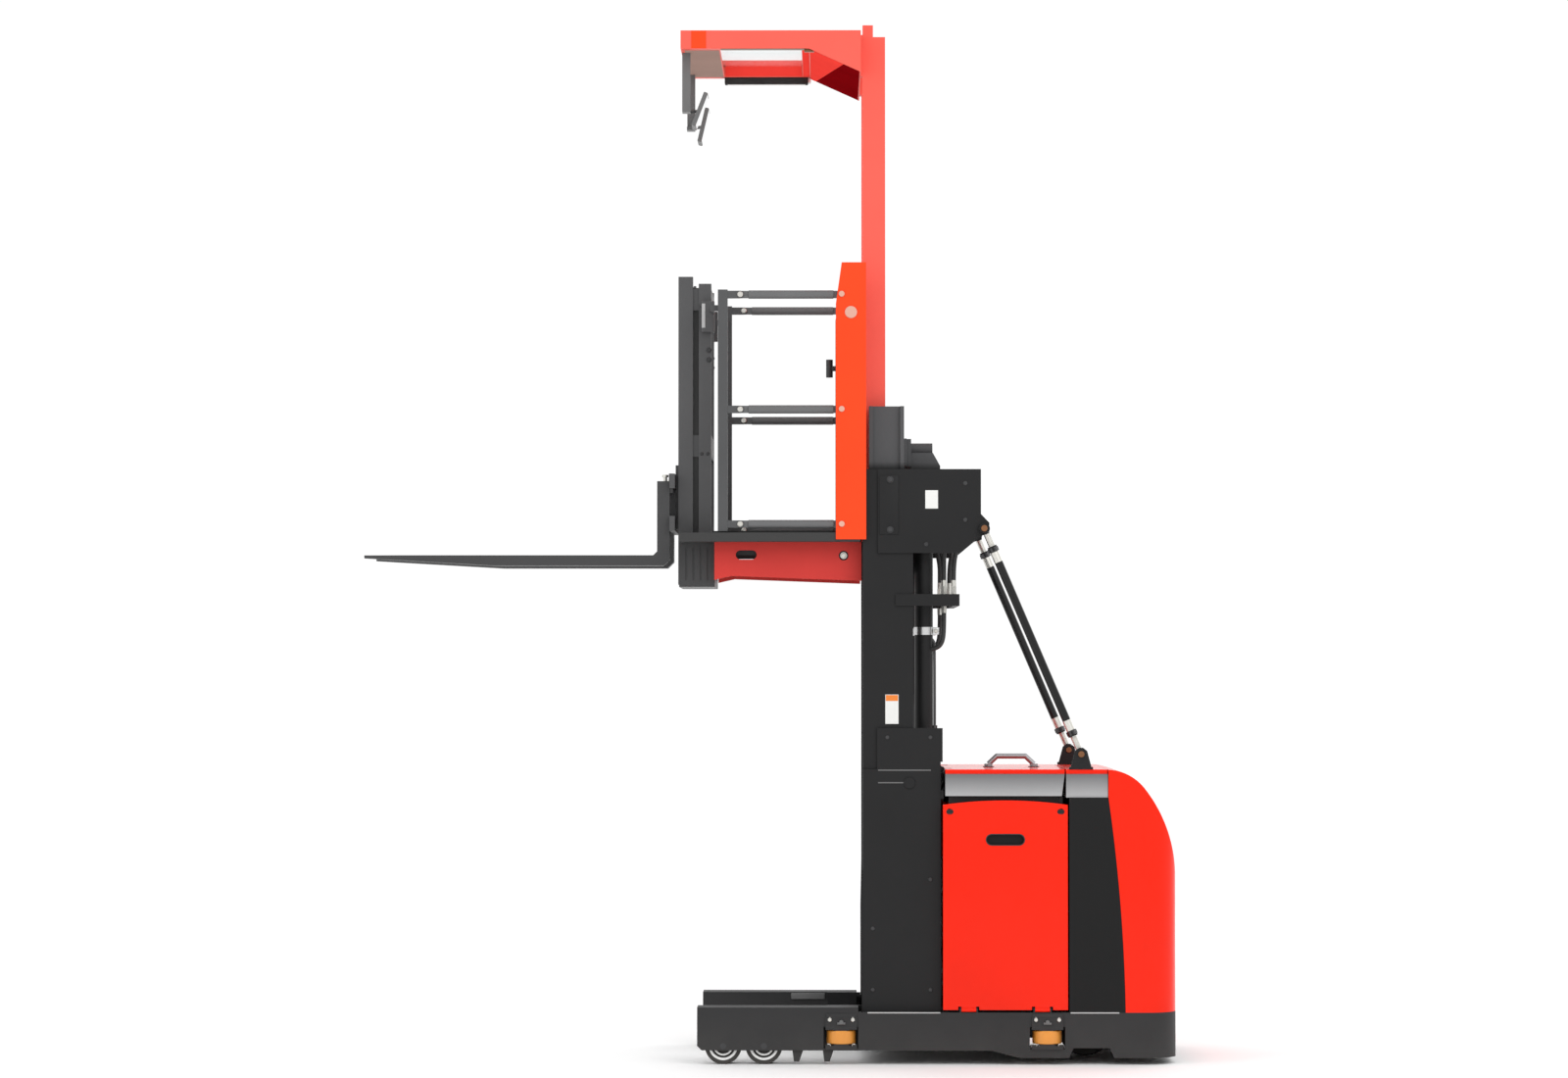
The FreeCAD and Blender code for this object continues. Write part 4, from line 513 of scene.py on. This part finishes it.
def roller_caps():
    """Bearing rings on the upper and lower faces of the guide rollers."""
    for side_name in SIDES.values():
        for place in ("rear", "front"):
            node = "guide_roller_%s_%s" % (side_name, place)
            low, high = corners(node)
            x, y = (low.x + high.x) / 2, (low.y + high.y) / 2
            form = bmesh.new()
            for z in (high.z - 0.001, low.z + 0.001):
                add_ring(form, (x, y, z), (0, 0, 1), 0.03, 0.0025)
            new_piece(node + "_bearing_rings", node, ZINC, form)


def drive_fins():
    """Cooling fins round the upper part of the drive motor."""
    low, high = corners("drive_unit")
    form = bmesh.new()
    count, pitch, first_drop = 9, 0.024, 0.05
    for step in range(count):
        z = high.z - first_drop - step * pitch
        add_ring(form, ((low.x + high.x) / 2, 0, z), (0, 0, 1), 0.0865, 0.0045, 48, 8)
    new_piece("drive_motor_fins", "steered_drive", CAST_GREY, form)


# ---------------------------------------------------------------- battery bay, doors and hood
def door_trim():
    """Locks in the door's upper corners, and a lip and a cup at the finger slot."""
    door_face, cup_back = 0.495, 0.4715
    lock_z, slot_z = 1.028, 0.914
    cup_half, cup_low, cup_high = 0.086, 0.886, 0.942
    skin, depth = 0.003, 0.019
    cup_blocks = (
        (-cup_half, cup_half, cup_low, cup_high, skin),
        (-cup_half, cup_half, cup_low, cup_low + skin, depth),
        (-cup_half, cup_half, cup_high - skin, cup_high, depth),
        (-cup_half, -cup_half + skin, cup_low + skin, cup_high - skin, depth),
        (cup_half - skin, cup_half, cup_low + skin, cup_high - skin, depth),
    )
    for side, name in SIDES.items():
        low, high = corners("battery_door_" + name)
        face = door_face * side
        locks, lips, cup = new_forms(3)
        for x in (low.x + 0.028, high.x - 0.028):
            add_disc(locks, (x, face - side * 0.003, lock_z), (0, side, 0), 0.0145, 0.003, 0.0008)
            add_block(locks, (x - 0.0115, min(face, face - side * 0.0015), lock_z - 0.002),
                      (x + 0.0115, max(face, face + side * 0.001), lock_z + 0.002), 0.0004, 1)
        middle = (low.x + high.x) / 2
        add_slot_ring(lips, Vector((middle, face, slot_z)), side, 0.156, 0.044, 0.0022)
        for x_low, x_high, z_low, z_high, reach in cup_blocks:
            y_low, y_high = sorted((side * cup_back, side * (cup_back + reach)))
            add_block(cup, (middle + x_low, y_low, z_low), (middle + x_high, y_high, z_high), 0.0008, 1)
        new_piece("door_%s_locks" % name, "door_" + name, BLACK_AND_SHADE, locks)
        new_piece("door_%s_slot_lip" % name, "door_" + name, RUBBER, lips)
        new_piece("door_%s_slot_cup" % name, "door_" + name, COVER_BLACK, cup)


def battery_trim():
    """Cell lids and vent plugs on top of the battery."""
    low, high = corners("battery_block")
    cells, plugs = new_forms(2)
    columns, rows = 3, 8
    border, gap = 0.02, 0.004
    step_x = (high.x - low.x - 2 * border) / columns
    step_y = (high.y - low.y - 2 * border) / rows
    for column in range(columns):
        for row in range(rows):
            x = low.x + border + step_x * column
            y = low.y + border + step_y * row
            add_block(cells, (x + gap, y + gap, high.z - 0.001),
                      (x + step_x - gap, y + step_y - gap, high.z + 0.008), 0.002, 1)
            add_disc(plugs, (x + step_x / 2, y + step_y / 2, high.z + 0.007), (0, 0, 1), 0.014, 0.008)
    new_piece("battery_cells", "chassis", CONSOLE_BLACK, cells)
    new_piece("battery_plugs", "chassis", ROLLER, plugs)


def hood_trim():
    """Rubber under the handle's feet, and dark rails and blocks under the hood's edge."""
    low, high = corners("hood_handle")
    feet, rails = new_forms(2)
    for x in (low.x + 0.017, high.x - 0.017):
        add_disc(feet, (x, 0, low.z - SKIN_DEPTH), (0, 0, 1), 0.024, 0.003)
    for side in SIDES:
        for x, y, z in (((0.464, 0.482), (0.446, 0.464), (1.04, 1.089)),
                        ((0.482, 0.93), (0.446, 0.464), (1.04, 1.1)),
                        ((0.949, 0.965), (0.43, 0.446), (1.078, 1.114))):
            add_side_block(rails, side, x, y, z, 0.002)
    new_piece("hood_handle_washers", "hood", RUBBER, feet)
    new_piece("hood_support_rails", "chassis", BLACK_AND_SHADE, rails)


# ---------------------------------------------------------------- fixed mast
HEAD_FACE, FOOT_FACE, CHANNEL_FACE = 0.446, 0.448, 0.436
LIFT_X, LIFT_Y = 1.028, 0.3
HOSES = ((0.905, 0.33), (0.945, 0.33), (0.945, 0.27))
HOSE_TOPS = (2.2, 2.24, 2.2)


def label(name, x, z, face, headed):
    """A blank sticker on the left side; a headed one has a coloured strip at its top."""
    sheet = bmesh.new()
    add_side_block(sheet, 1, x, (face, face + 0.0006), z, 0.0002, 1)
    new_piece(name, "chassis", LABEL, sheet)
    if headed:
        margin, header = 0.002, 0.22
        strip = bmesh.new()
        add_side_block(strip, 1, (x[0] + margin, x[1] - margin), (face, face + 0.001),
                       (z[1] - (z[1] - z[0]) * header, z[1] - margin), 0.0002, 1)
        new_piece(name + "_header", "chassis", LABEL_ORANGE, strip)


def mast_trim():
    """Bolts, painted highlight lines along the foot plates' edges, raised pads and the blank labels on the
    mast's side plates.
    """
    bolts, pads, edge_highlights = new_forms(3)
    pad_face = HEAD_FACE + 0.004
    for side in SIDES:
        out = (0, side, 0)
        add_side_block(pads, side, (1.134, 1.212), (HEAD_FACE, pad_face), (2.16, 2.402), 0.002)
        for z in (2.385, 2.18):
            add_bolt(bolts, at(1.168, side * pad_face, z), out, 0.011)
        for x, z in ((0.86, 2.37), (0.86, 2.22), (1.02, 2.12)):
            add_button(bolts, at(x, side * HEAD_FACE, z), out, 0.009)
        add_disc(pads, at(1.09, side * FOOT_FACE, 1.144), out, 0.024, 0.005)
        for x, z in ((1.004, 1.33), (1.18, 1.33), (1.004, 0.3), (1.24, 0.3), (1.004, 0.75), (1.24, 0.55)):
            add_button(bolts, at(x, side * FOOT_FACE, z), out, 0.008)
        # Two light lines on each foot plate: painted highlights along its edges.
        for rear, z in ((1.002, 1.196), (1.102, 1.145)):
            add_side_block(edge_highlights, side, (rear, 1.218), (FOOT_FACE, FOOT_FACE + 0.001),
                           (z - 0.0025, z + 0.0025), 0.0004, 1)
    new_piece("mast_plate_painted_highlights", "chassis", BRACKET_GREY, edge_highlights)
    new_piece("mast_plate_pads", "chassis", MAST_BLACK, pads)
    new_piece("mast_plate_bolts", "chassis", DARK_BOLT, bolts)
    label("mast_label_lower", (1.134, 1.188), (1.385, 1.505), CHANNEL_FACE, True)
    label("mast_label_upper", (0.972, 1.024), (2.266, 2.341), HEAD_FACE, False)


def brace_trim():
    """Bright threads, lock nuts and oiled pins at both ends of the two braces."""
    threads, nuts, pins = new_forms(3)
    brace_side, thread_radius, turns = 0.468, 0.0125, 14
    low_end, high_end = at(0.39, brace_side, 1.262), at(0.784, brace_side, 2.184)
    along = (high_end - low_end).normalized()
    for side in SIDES:
        flip = Vector((1, side, 1))
        for end, way in ((low_end, along), (high_end, -along)):
            start, stop, nut, nut_top, collar, collar_top = (
                end + way * reach for reach in (0.026, 0.082, 0.086, 0.104, 0.106, 0.15))
            add_rod(threads, start * flip, stop * flip, thread_radius)
            for turn in range(turns):
                ring = start + (stop - start) * (turn + 0.5) / turns
                add_ring(threads, ring * flip, way * flip, thread_radius, 0.0012, 24, 6)
            add_rod(nuts, nut * flip, nut_top * flip, 0.0225, 6)
            add_rod(threads, collar * flip, collar_top * flip, 0.0176)
            for offset, out, radius, height in ((0.0205, side, 0.013, 0.008),
                                                (-0.0215, -side, 0.012, 0.005)):
                add_disc(pins, end * flip + ACROSS * side * offset, (0, out, 0), radius, height)
    new_piece("brace_threads", "chassis", ZINC, threads)
    new_piece("brace_lock_nuts", "chassis", DARK_BOLT, nuts)
    new_piece("brace_pins", "chassis", BROWN_STEEL_AND_SHADE, pins)


def cylinder_trim():
    """Clamp bands on the lift cylinders, and the fittings of the pipes and hoses that feed them."""
    bands, fittings = new_forms(2)
    band_half = Vector((0, 0, 0.016))
    lug_half = Vector((0.014, 0.01, 0.015))
    nut_radius, sleeve_radius = 0.0125, 0.0105
    for side in SIDES:
        centre = at(LIFT_X, side * LIFT_Y, 1.766)
        add_rod(bands, centre - band_half, centre + band_half, 0.0405, 40)
        lug = centre + Vector((-0.05, 0, 0))
        add_block(bands, lug - lug_half, lug + lug_half, 0.002)
        add_bolt(fittings, lug + ACROSS * side * lug_half.y, (0, side, 0), 0.008)
        for x, y in HOSES:
            nut, sleeve, end = (at(x, side * y, z) for z in (1.916, 1.95, 1.975))
            add_rod(fittings, nut, sleeve, nut_radius, 6)
            add_rod(fittings, sleeve, end, sleeve_radius, 16)
        x, y = HOSES[1]
        add_rod(fittings, at(x, side * y, 1.868), at(x, side * y, 1.84), nut_radius, 6)
    new_piece("cylinder_clamp_bands", "chassis", BRIGHT_STEEL, bands)
    new_piece("hose_fittings", "chassis", ZINC, fittings)


def hose_runs():
    """The hoses in the mast's window, and a light grey pipe along each lift cylinder that paints the
    cylinder's highlight.
    """
    hose_radius, highlight_radius = 0.0095, 0.006
    bow = 0.012
    drop = ((0.945, 0.33, 1.85), (0.945, 0.33, 1.77), (0.951, 0.33, 1.72), (0.972, 0.324, 1.695),
            (1.002, 0.315, 1.69))
    feed = ((1.0, 1.735), (0.986, 1.728), (0.983, 1.7), (0.983, 1.2), (0.983, 0.32), (0.986, 0.29),
            (1.0, 0.283))
    for side, name in SIDES.items():
        for number, ((x, y), top) in enumerate(zip(HOSES, HOSE_TOPS)):
            bend = at(x + bow * (number - 1), side * (y + bow), 2.1)
            points = [at(x, side * y, 1.97), at(x, side * y, 2.04), bend,
                      at(x + 0.004, side * y, top - 0.04), at(x, side * y, top)]
            pipe("mast_hose_%s_%d" % (name, number + 1), "chassis", RUBBER, points, hose_radius)
        points = [at(x, side * y, z) for x, y, z in drop]
        pipe("mast_drop_hose_" + name, "chassis", RUBBER, points, hose_radius)
        # The light pipe beside each lift cylinder widens it and stands for its lit edge: painted highlight.
        points = [at(x, side * LIFT_Y, z) for x, z in feed]
        pipe("mast_cylinder_highlight_" + name, "chassis", AUX_GREY, points, highlight_radius)


# ---------------------------------------------------------------- platform
RAIL_BOTTOM = 4.154
RAIL_INSIDE = 0.416


def gate_trim():
    """Pin heads on the panels and gates, and the large cap near each panel's top."""
    heads, caps = new_forms(2)
    panel_face = corners("side_panels")[1].y
    pin_inset = 0.015
    outer_face, inner_face = 0.4435, 0.4085
    for side, name in SIDES.items():
        front = bmesh.new()
        for word in ("bottom", "middle", "top"):
            low, high = corners("gate_%s_bar_%s" % (word, name))
            z = (low.z + high.z) / 2
            add_disc(heads, (low.x + pin_inset, side * (panel_face - 0.001), z), (0, side, 0), 0.012, 0.006)
            for y, out in ((outer_face, side), (inner_face, -side)):
                add_button(front, (high.x - pin_inset, side * y, z), (0, out, 0), 0.0115)
        new_piece("gate_pin_caps_" + name, "gate_post_" + name, ZINC, front)
        add_disc(caps, at(1.328, side * 0.46, 3.071), (0, side, 0), 0.025, 0.006, 0.002, 48)
    new_piece("panel_pin_heads", "platform", PLUG_BEIGE, heads)
    new_piece("panel_caps", "platform", PLUG_BEIGE, caps)


def under_frame_trim():
    """Recessed bolts in the side beams' round holes, each in a black cup that paints the shade inside the
    hole.
    """
    cups, bolts = new_forms(2)
    hole_x, hole_z, hole_radius = 1.358, 2.076, 0.0198
    for side in SIDES:
        back, front = (at(hole_x, side * y, hole_z) for y in (0.343, 0.3455))
        add_rod(cups, back, front, hole_radius, 32)
        add_bolt(bolts, front, (0, side, 0), 0.011)
    new_piece("under_frame_hole_painted_shade", "platform", BLACK_AND_SHADE, cups)
    new_piece("under_frame_bolts", "platform", ZINC, bolts)


def floor_ribs():
    """Raised ribs across the rubber floor mat."""
    form = bmesh.new()
    rear, front, top = 1.42, 1.86, 2.176
    half_length, half_width = 0.36, 0.004
    count = 22
    for number in range(count):
        x = rear + (front - rear) * number / (count - 1)
        add_block(form, at(x - half_width, -half_length, top - 0.001),
                  at(x + half_width, half_length, top + 0.0025), 0.001, 1)
    new_piece("floor_mat_ribs", "platform", MAT_RUBBER, form)


def console_trim():
    """Display, switches and a stop button on the leaning desk."""
    foot, head = at(1.388, 0, 2.79), at(1.316, 0, 3.13)
    up = (head - foot).normalized()
    out = Vector((up.z, 0, -up.x))

    def on_desk(share, y, rise=0.0):
        """A point on the desk, at a share of the way from its foot to its head."""
        return foot.lerp(head, share) + Vector((0, y, 0)) + out * rise

    def plate(form, shares, y, height, bevel=0.003):
        """A raised plate between two shares of the desk's height and two Y places."""
        centre = on_desk(sum(shares) / 2, sum(y) / 2, height / 2)
        size = (height, y[1] - y[0], (head - foot).length * (shares[1] - shares[0]))
        add_leaning_block(form, centre, out, up, size, bevel)

    bezel, screen, keys, stop, ring = new_forms(5)
    plate(bezel, (0.62, 0.93), (-0.1, 0.1), 0.008)
    plate(screen, (0.66, 0.89), (-0.085, 0.085), 0.0095, 0.001)
    key_start, key_pitch, key_width = -0.09, 0.038, 0.028
    for number in range(5):
        y = key_start + number * key_pitch
        plate(keys, (0.52, 0.58), (y, y + key_width), 0.007, 0.002)
    stop_share, stop_y = 0.72, 0.2
    add_disc(ring, on_desk(stop_share, stop_y), out, 0.03, 0.008)
    add_disc(stop, on_desk(stop_share, stop_y, 0.006), out, 0.02, 0.016, 0.004)
    for y in (-0.27, 0.27):
        for share in (0.1, 0.9):
            add_button(keys, on_desk(share, y), out, 0.007)
    new_piece("console_bezel", "platform", BRACKET_GREY, bezel)
    new_piece("console_screen", "platform", SCREEN, screen)
    new_piece("console_keys", "platform", RUBBER, keys)
    new_piece("stop_button_ring", "platform", ROLLER, ring)
    new_piece("stop_button", "platform", COVER_RED, stop)


def guard_trim():
    """Lamp lens and end cap, and a brown block of painted shade below the left rail."""
    low, high = corners("guard_lamp")
    lens, cap, connector = new_forms(3)
    add_block(lens, (low.x + 0.012, low.y + 0.008, low.z - 0.0015),
              (high.x - 0.012, high.y - 0.008, low.z + 0.002), 0.001, 1)
    add_block(cap, (low.x - 0.012, low.y + 0.004, low.z + 0.006),
              (low.x + 0.002, high.y - 0.004, high.z - 0.004), 0.003)
    add_side_block(connector, 1, (1.46, 1.52), (0.434, 0.462), (RAIL_BOTTOM - 0.012, RAIL_BOTTOM + 0.001),
                   0.002)
    new_piece("guard_lamp_lens", "platform", LENS, lens)
    new_piece("guard_lamp_cap", "platform", LABEL, cap)
    new_piece("rail_underside_painted_shade", "platform", BROWN_STEEL_AND_SHADE, connector)


def mirror_trim():
    """Silvered faces on the two mirrors, towards the operator."""
    form = bmesh.new()
    mirror_x, mirror_y, drop, glass_rise = 1.952, 0.267, 0.233, 0.0085
    for side, tilt in ((1, 21), (-1, 13)):
        lean = math.radians(tilt)
        out = Vector((-math.cos(lean), 0, -math.sin(lean)))
        up = Vector((-math.sin(lean), 0, math.cos(lean)))
        centre = at(mirror_x, side * mirror_y, RAIL_BOTTOM - drop) + out * glass_rise
        add_leaning_block(form, centre, out, up, (0.002, 0.146, 0.134), 0.0008, 1)
    new_piece("mirror_faces", "platform", MIRROR, form)


def aux_trim():
    """Bolts and the light catch strips on the auxiliary mast."""
    bolts, strips = new_forms(2)
    column_face = 0.25
    for side in SIDES:
        for z in (2.0, 2.5, 3.11):
            for x in (1.92, 1.945):
                add_button(bolts, at(x, side * column_face, z), (0, side, 0), 0.007)
        for z in (2.93, 2.89):
            add_bolt(bolts, at(1.915, side * column_face, z), (0, side, 0), 0.009)
        add_side_block(strips, side, (1.93, 1.944), (0.294, 0.2955), (3.02, 3.12), SKIN_DEPTH, 1)
    new_piece("aux_mast_bolts", "platform", DARK_BOLT, bolts)
    new_piece("aux_catch_strips", "platform", LIGHT_TRIM_AND_HIGHLIGHT, strips)


def fork_trim():
    """Latch knobs and hooks at the top of both fork shanks."""
    hooks, pins = new_forms(2)
    shank_x, shank_y, shank_top, pin_x = 2.076, 0.25, 2.385, 2.096
    half_width = 0.045
    for side in SIDES:
        y = side * shank_y
        add_block(hooks, at(shank_x - 0.014, y - half_width, shank_top - 0.05),
                  at(shank_x + 0.004, y + half_width, shank_top + 0.032), 0.003)
        add_rod(pins, at(pin_x, y, shank_top - 0.002), at(pin_x, y, shank_top + 0.02), 0.008, 20)
        add_disc(pins, at(pin_x, y, shank_top + 0.018), (0, 0, 1), 0.013, 0.01)
    new_piece("fork_hooks", "fork_frame", FORK_BLACK, hooks)
    new_piece("fork_latches", "fork_frame", ZINC, pins)


def slope_sheet(name, material, rear, front):
    """Thin sheet of painted light or painted shade, by its material, under part of the rear wedge's slope.
    Each end has an X place at right and at left.
    """
    wedge_rear, wedge_front, wedge_drop, half_width = 1.287, 1.5, 0.096, 0.462
    form = bmesh.new()
    rows = []
    for places in (rear, front):
        row = []
        for x, y in zip(places, (-half_width, half_width)):
            z = RAIL_BOTTOM - wedge_drop * (wedge_front - x) / (wedge_front - wedge_rear)
            row += [form.verts.new(at(x, y, z - depth)) for depth in (0.0006, 0.0022)]
        rows.append(row)
    (a, b, c, d), (e, f, g, h) = rows
    for ring in ((a, c, g, e), (b, f, h, d), (a, e, f, b), (c, d, h, g), (a, b, d, c), (e, g, h, f)):
        form.faces.new(ring)
    new_piece(name, "platform", material, form)


def roof_painted_undersides():
    """Matt sheets under the roof, mostly painted light and shade: the wedge's slope, the bars and the two
    side rails.
    """
    front, rail_shade, red, sleeves = new_forms(4)
    below, above = RAIL_BOTTOM - 0.001, RAIL_BOTTOM + 0.001
    across = (-RAIL_INSIDE, RAIL_INSIDE)
    # Painted light in front of a slanted edge, painted shade behind it.
    slope_sheet("roof_slope_painted_light", LIT_UNDERSIDE_RED, (1.474, 1.36), (1.496, 1.496))
    slope_sheet("roof_slope_painted_shade", SHADED_UNDERSIDE_RED, (1.291, 1.291), (1.472, 1.358))
    # Taupe painted shade under the front bar, dark painted shade under the left rail, bright red painted
    # light on the right rail's inner face and a crossbar, and red sleeves on both rails.
    for form, x, y, z in ((front, (1.87, 2.012), across, (below, above)),
                          (rail_shade, (1.512, 1.862), (0.421, 0.468), (below, above)),
                          (red, (1.535, 1.862), (-0.421, -0.419), (RAIL_BOTTOM + 0.004, 4.225)),
                          (red, (1.476, 1.528), across, (RAIL_BOTTOM + 0.003, RAIL_BOTTOM + 0.005))):
        add_side_block(form, 1, x, y, z, 0.0004, 1)
    for side in SIDES:
        add_side_block(sleeves, side, (1.922, 1.983), (0.469, 0.4712), (above, 4.228), 0.0004, 1)
    new_piece("roof_front_painted_shade", "platform", SHADED_UNDERSIDE_TAUPE, front)
    new_piece("roof_rail_painted_shade", "platform", BROWN_STEEL_AND_SHADE, rail_shade)
    new_piece("roof_rail_painted_light", "platform", LIT_UNDERSIDE_RED, red)
    new_piece("roof_rail_sleeves", "platform", PANEL_RED, sleeves)


def side_pair(name, body, material, x, y, z, bevel, segments=2):
    """One piece of two equal blocks, one on each side of the truck."""
    form = bmesh.new()
    for side in SIDES:
        add_side_block(form, side, x, y, z, bevel, segments)
    new_piece(name, body, material, form)


def inner_blocks():
    """Painted shade in the auxiliary mast's gaps, light grey blocks on the legs' inner faces, painted shade
    behind the beams' slots.
    """
    # Dark strips between the auxiliary mast's columns and channels: painted shade.
    side_pair("aux_gap_painted_shade", "platform", RUBBER, (1.9585, 1.9815), (0.224, 0.231), (2.12, 3.19),
              0.001, 1)
    # Light grey blocks on the legs' inner faces.
    side_pair("leg_inner_blocks", "chassis", BRACKET_GREY, (1.436, 1.58), (0.355, 0.37), (0.203, 0.228),
              0.003)
    # Dark plates behind the beams' slots: painted shade.
    side_pair("under_frame_slot_painted_shade", "platform", BLACK_AND_SHADE, (1.69, 1.826), (0.33, 0.334), (2.078, 2.11),
              0.001, 1)


base_trim()
roof_painted_undersides()
inner_blocks()
roller_brackets()
wheel_hubs()
roller_caps()
drive_fins()
door_trim()
battery_trim()
hood_trim()
mast_trim()
brace_trim()
cylinder_trim()
hose_runs()
gate_trim()
under_frame_trim()
floor_ribs()
console_trim()
guard_trim()
mirror_trim()
aux_trim()
fork_trim()


# ---------------------------------------------------------------- studio and camera
def floor():
    """A wide pale floor that takes the truck's shadow."""
    mesh = bpy.data.meshes.new("studio_floor")
    reach = 60.0
    mesh.from_pydata([(-reach, -reach, 0), (reach, -reach, 0), (reach, reach, 0), (-reach, reach, 0)], [],
                     [(0, 1, 2, 3)])
    mesh.materials.append(finish("pale_floor", (0.99, 0.99, 0.99), 0.8, grain=30, bump=0.0, vary=0.005))
    add_object("studio_floor", mesh)


def area_light(name, place, target, size, power):
    """A square lamp at a place, aimed at a target."""
    light = bpy.data.lights.new(name, "AREA")
    light.shape = "RECTANGLE"
    light.size = size
    light.size_y = size
    light.energy = power
    aim(add_object(name, light), place, target)


def aim(thing, place, target):
    """Sets a lamp or camera at a place and turns it to a target."""
    thing.location = place
    way = Vector(target) - Vector(place)
    thing.rotation_euler = way.to_track_quat("-Z", "Y").to_euler()


def studio():
    """An even white world, a soft key light and two fills."""
    world = bpy.data.worlds.new("studio")
    world.use_nodes = True
    sky = world.node_tree.nodes["Background"]
    sky.inputs["Color"].default_value = (1, 1, 1, 1)
    sky.inputs["Strength"].default_value = 1.03
    bpy.context.scene.world = world
    area_light("key_light", (-5, 9, 8), (0, 0, 1.6), 6, 260)
    area_light("front_fill", (8, 6, 5), (0, 0, 1.8), 5, 110)
    area_light("rear_fill", (-8, -7, 6), (0, 0, 1.8), 6, 120)
    bpy.context.scene.view_settings.view_transform = "Standard"


def camera():
    """Almost square on to the left side, from about 18 m away."""
    place, target = (-0.24, 18.7, 1.62), (-0.068, 0.5, 2.14)
    lens = bpy.data.cameras.new("camera")
    lens.sensor_width = 36
    lens.lens = 102.4
    lens.clip_end = 200
    eye = add_object("camera", lens)
    aim(eye, place, target)
    bpy.context.scene.camera = eye


floor()
studio()
camera()
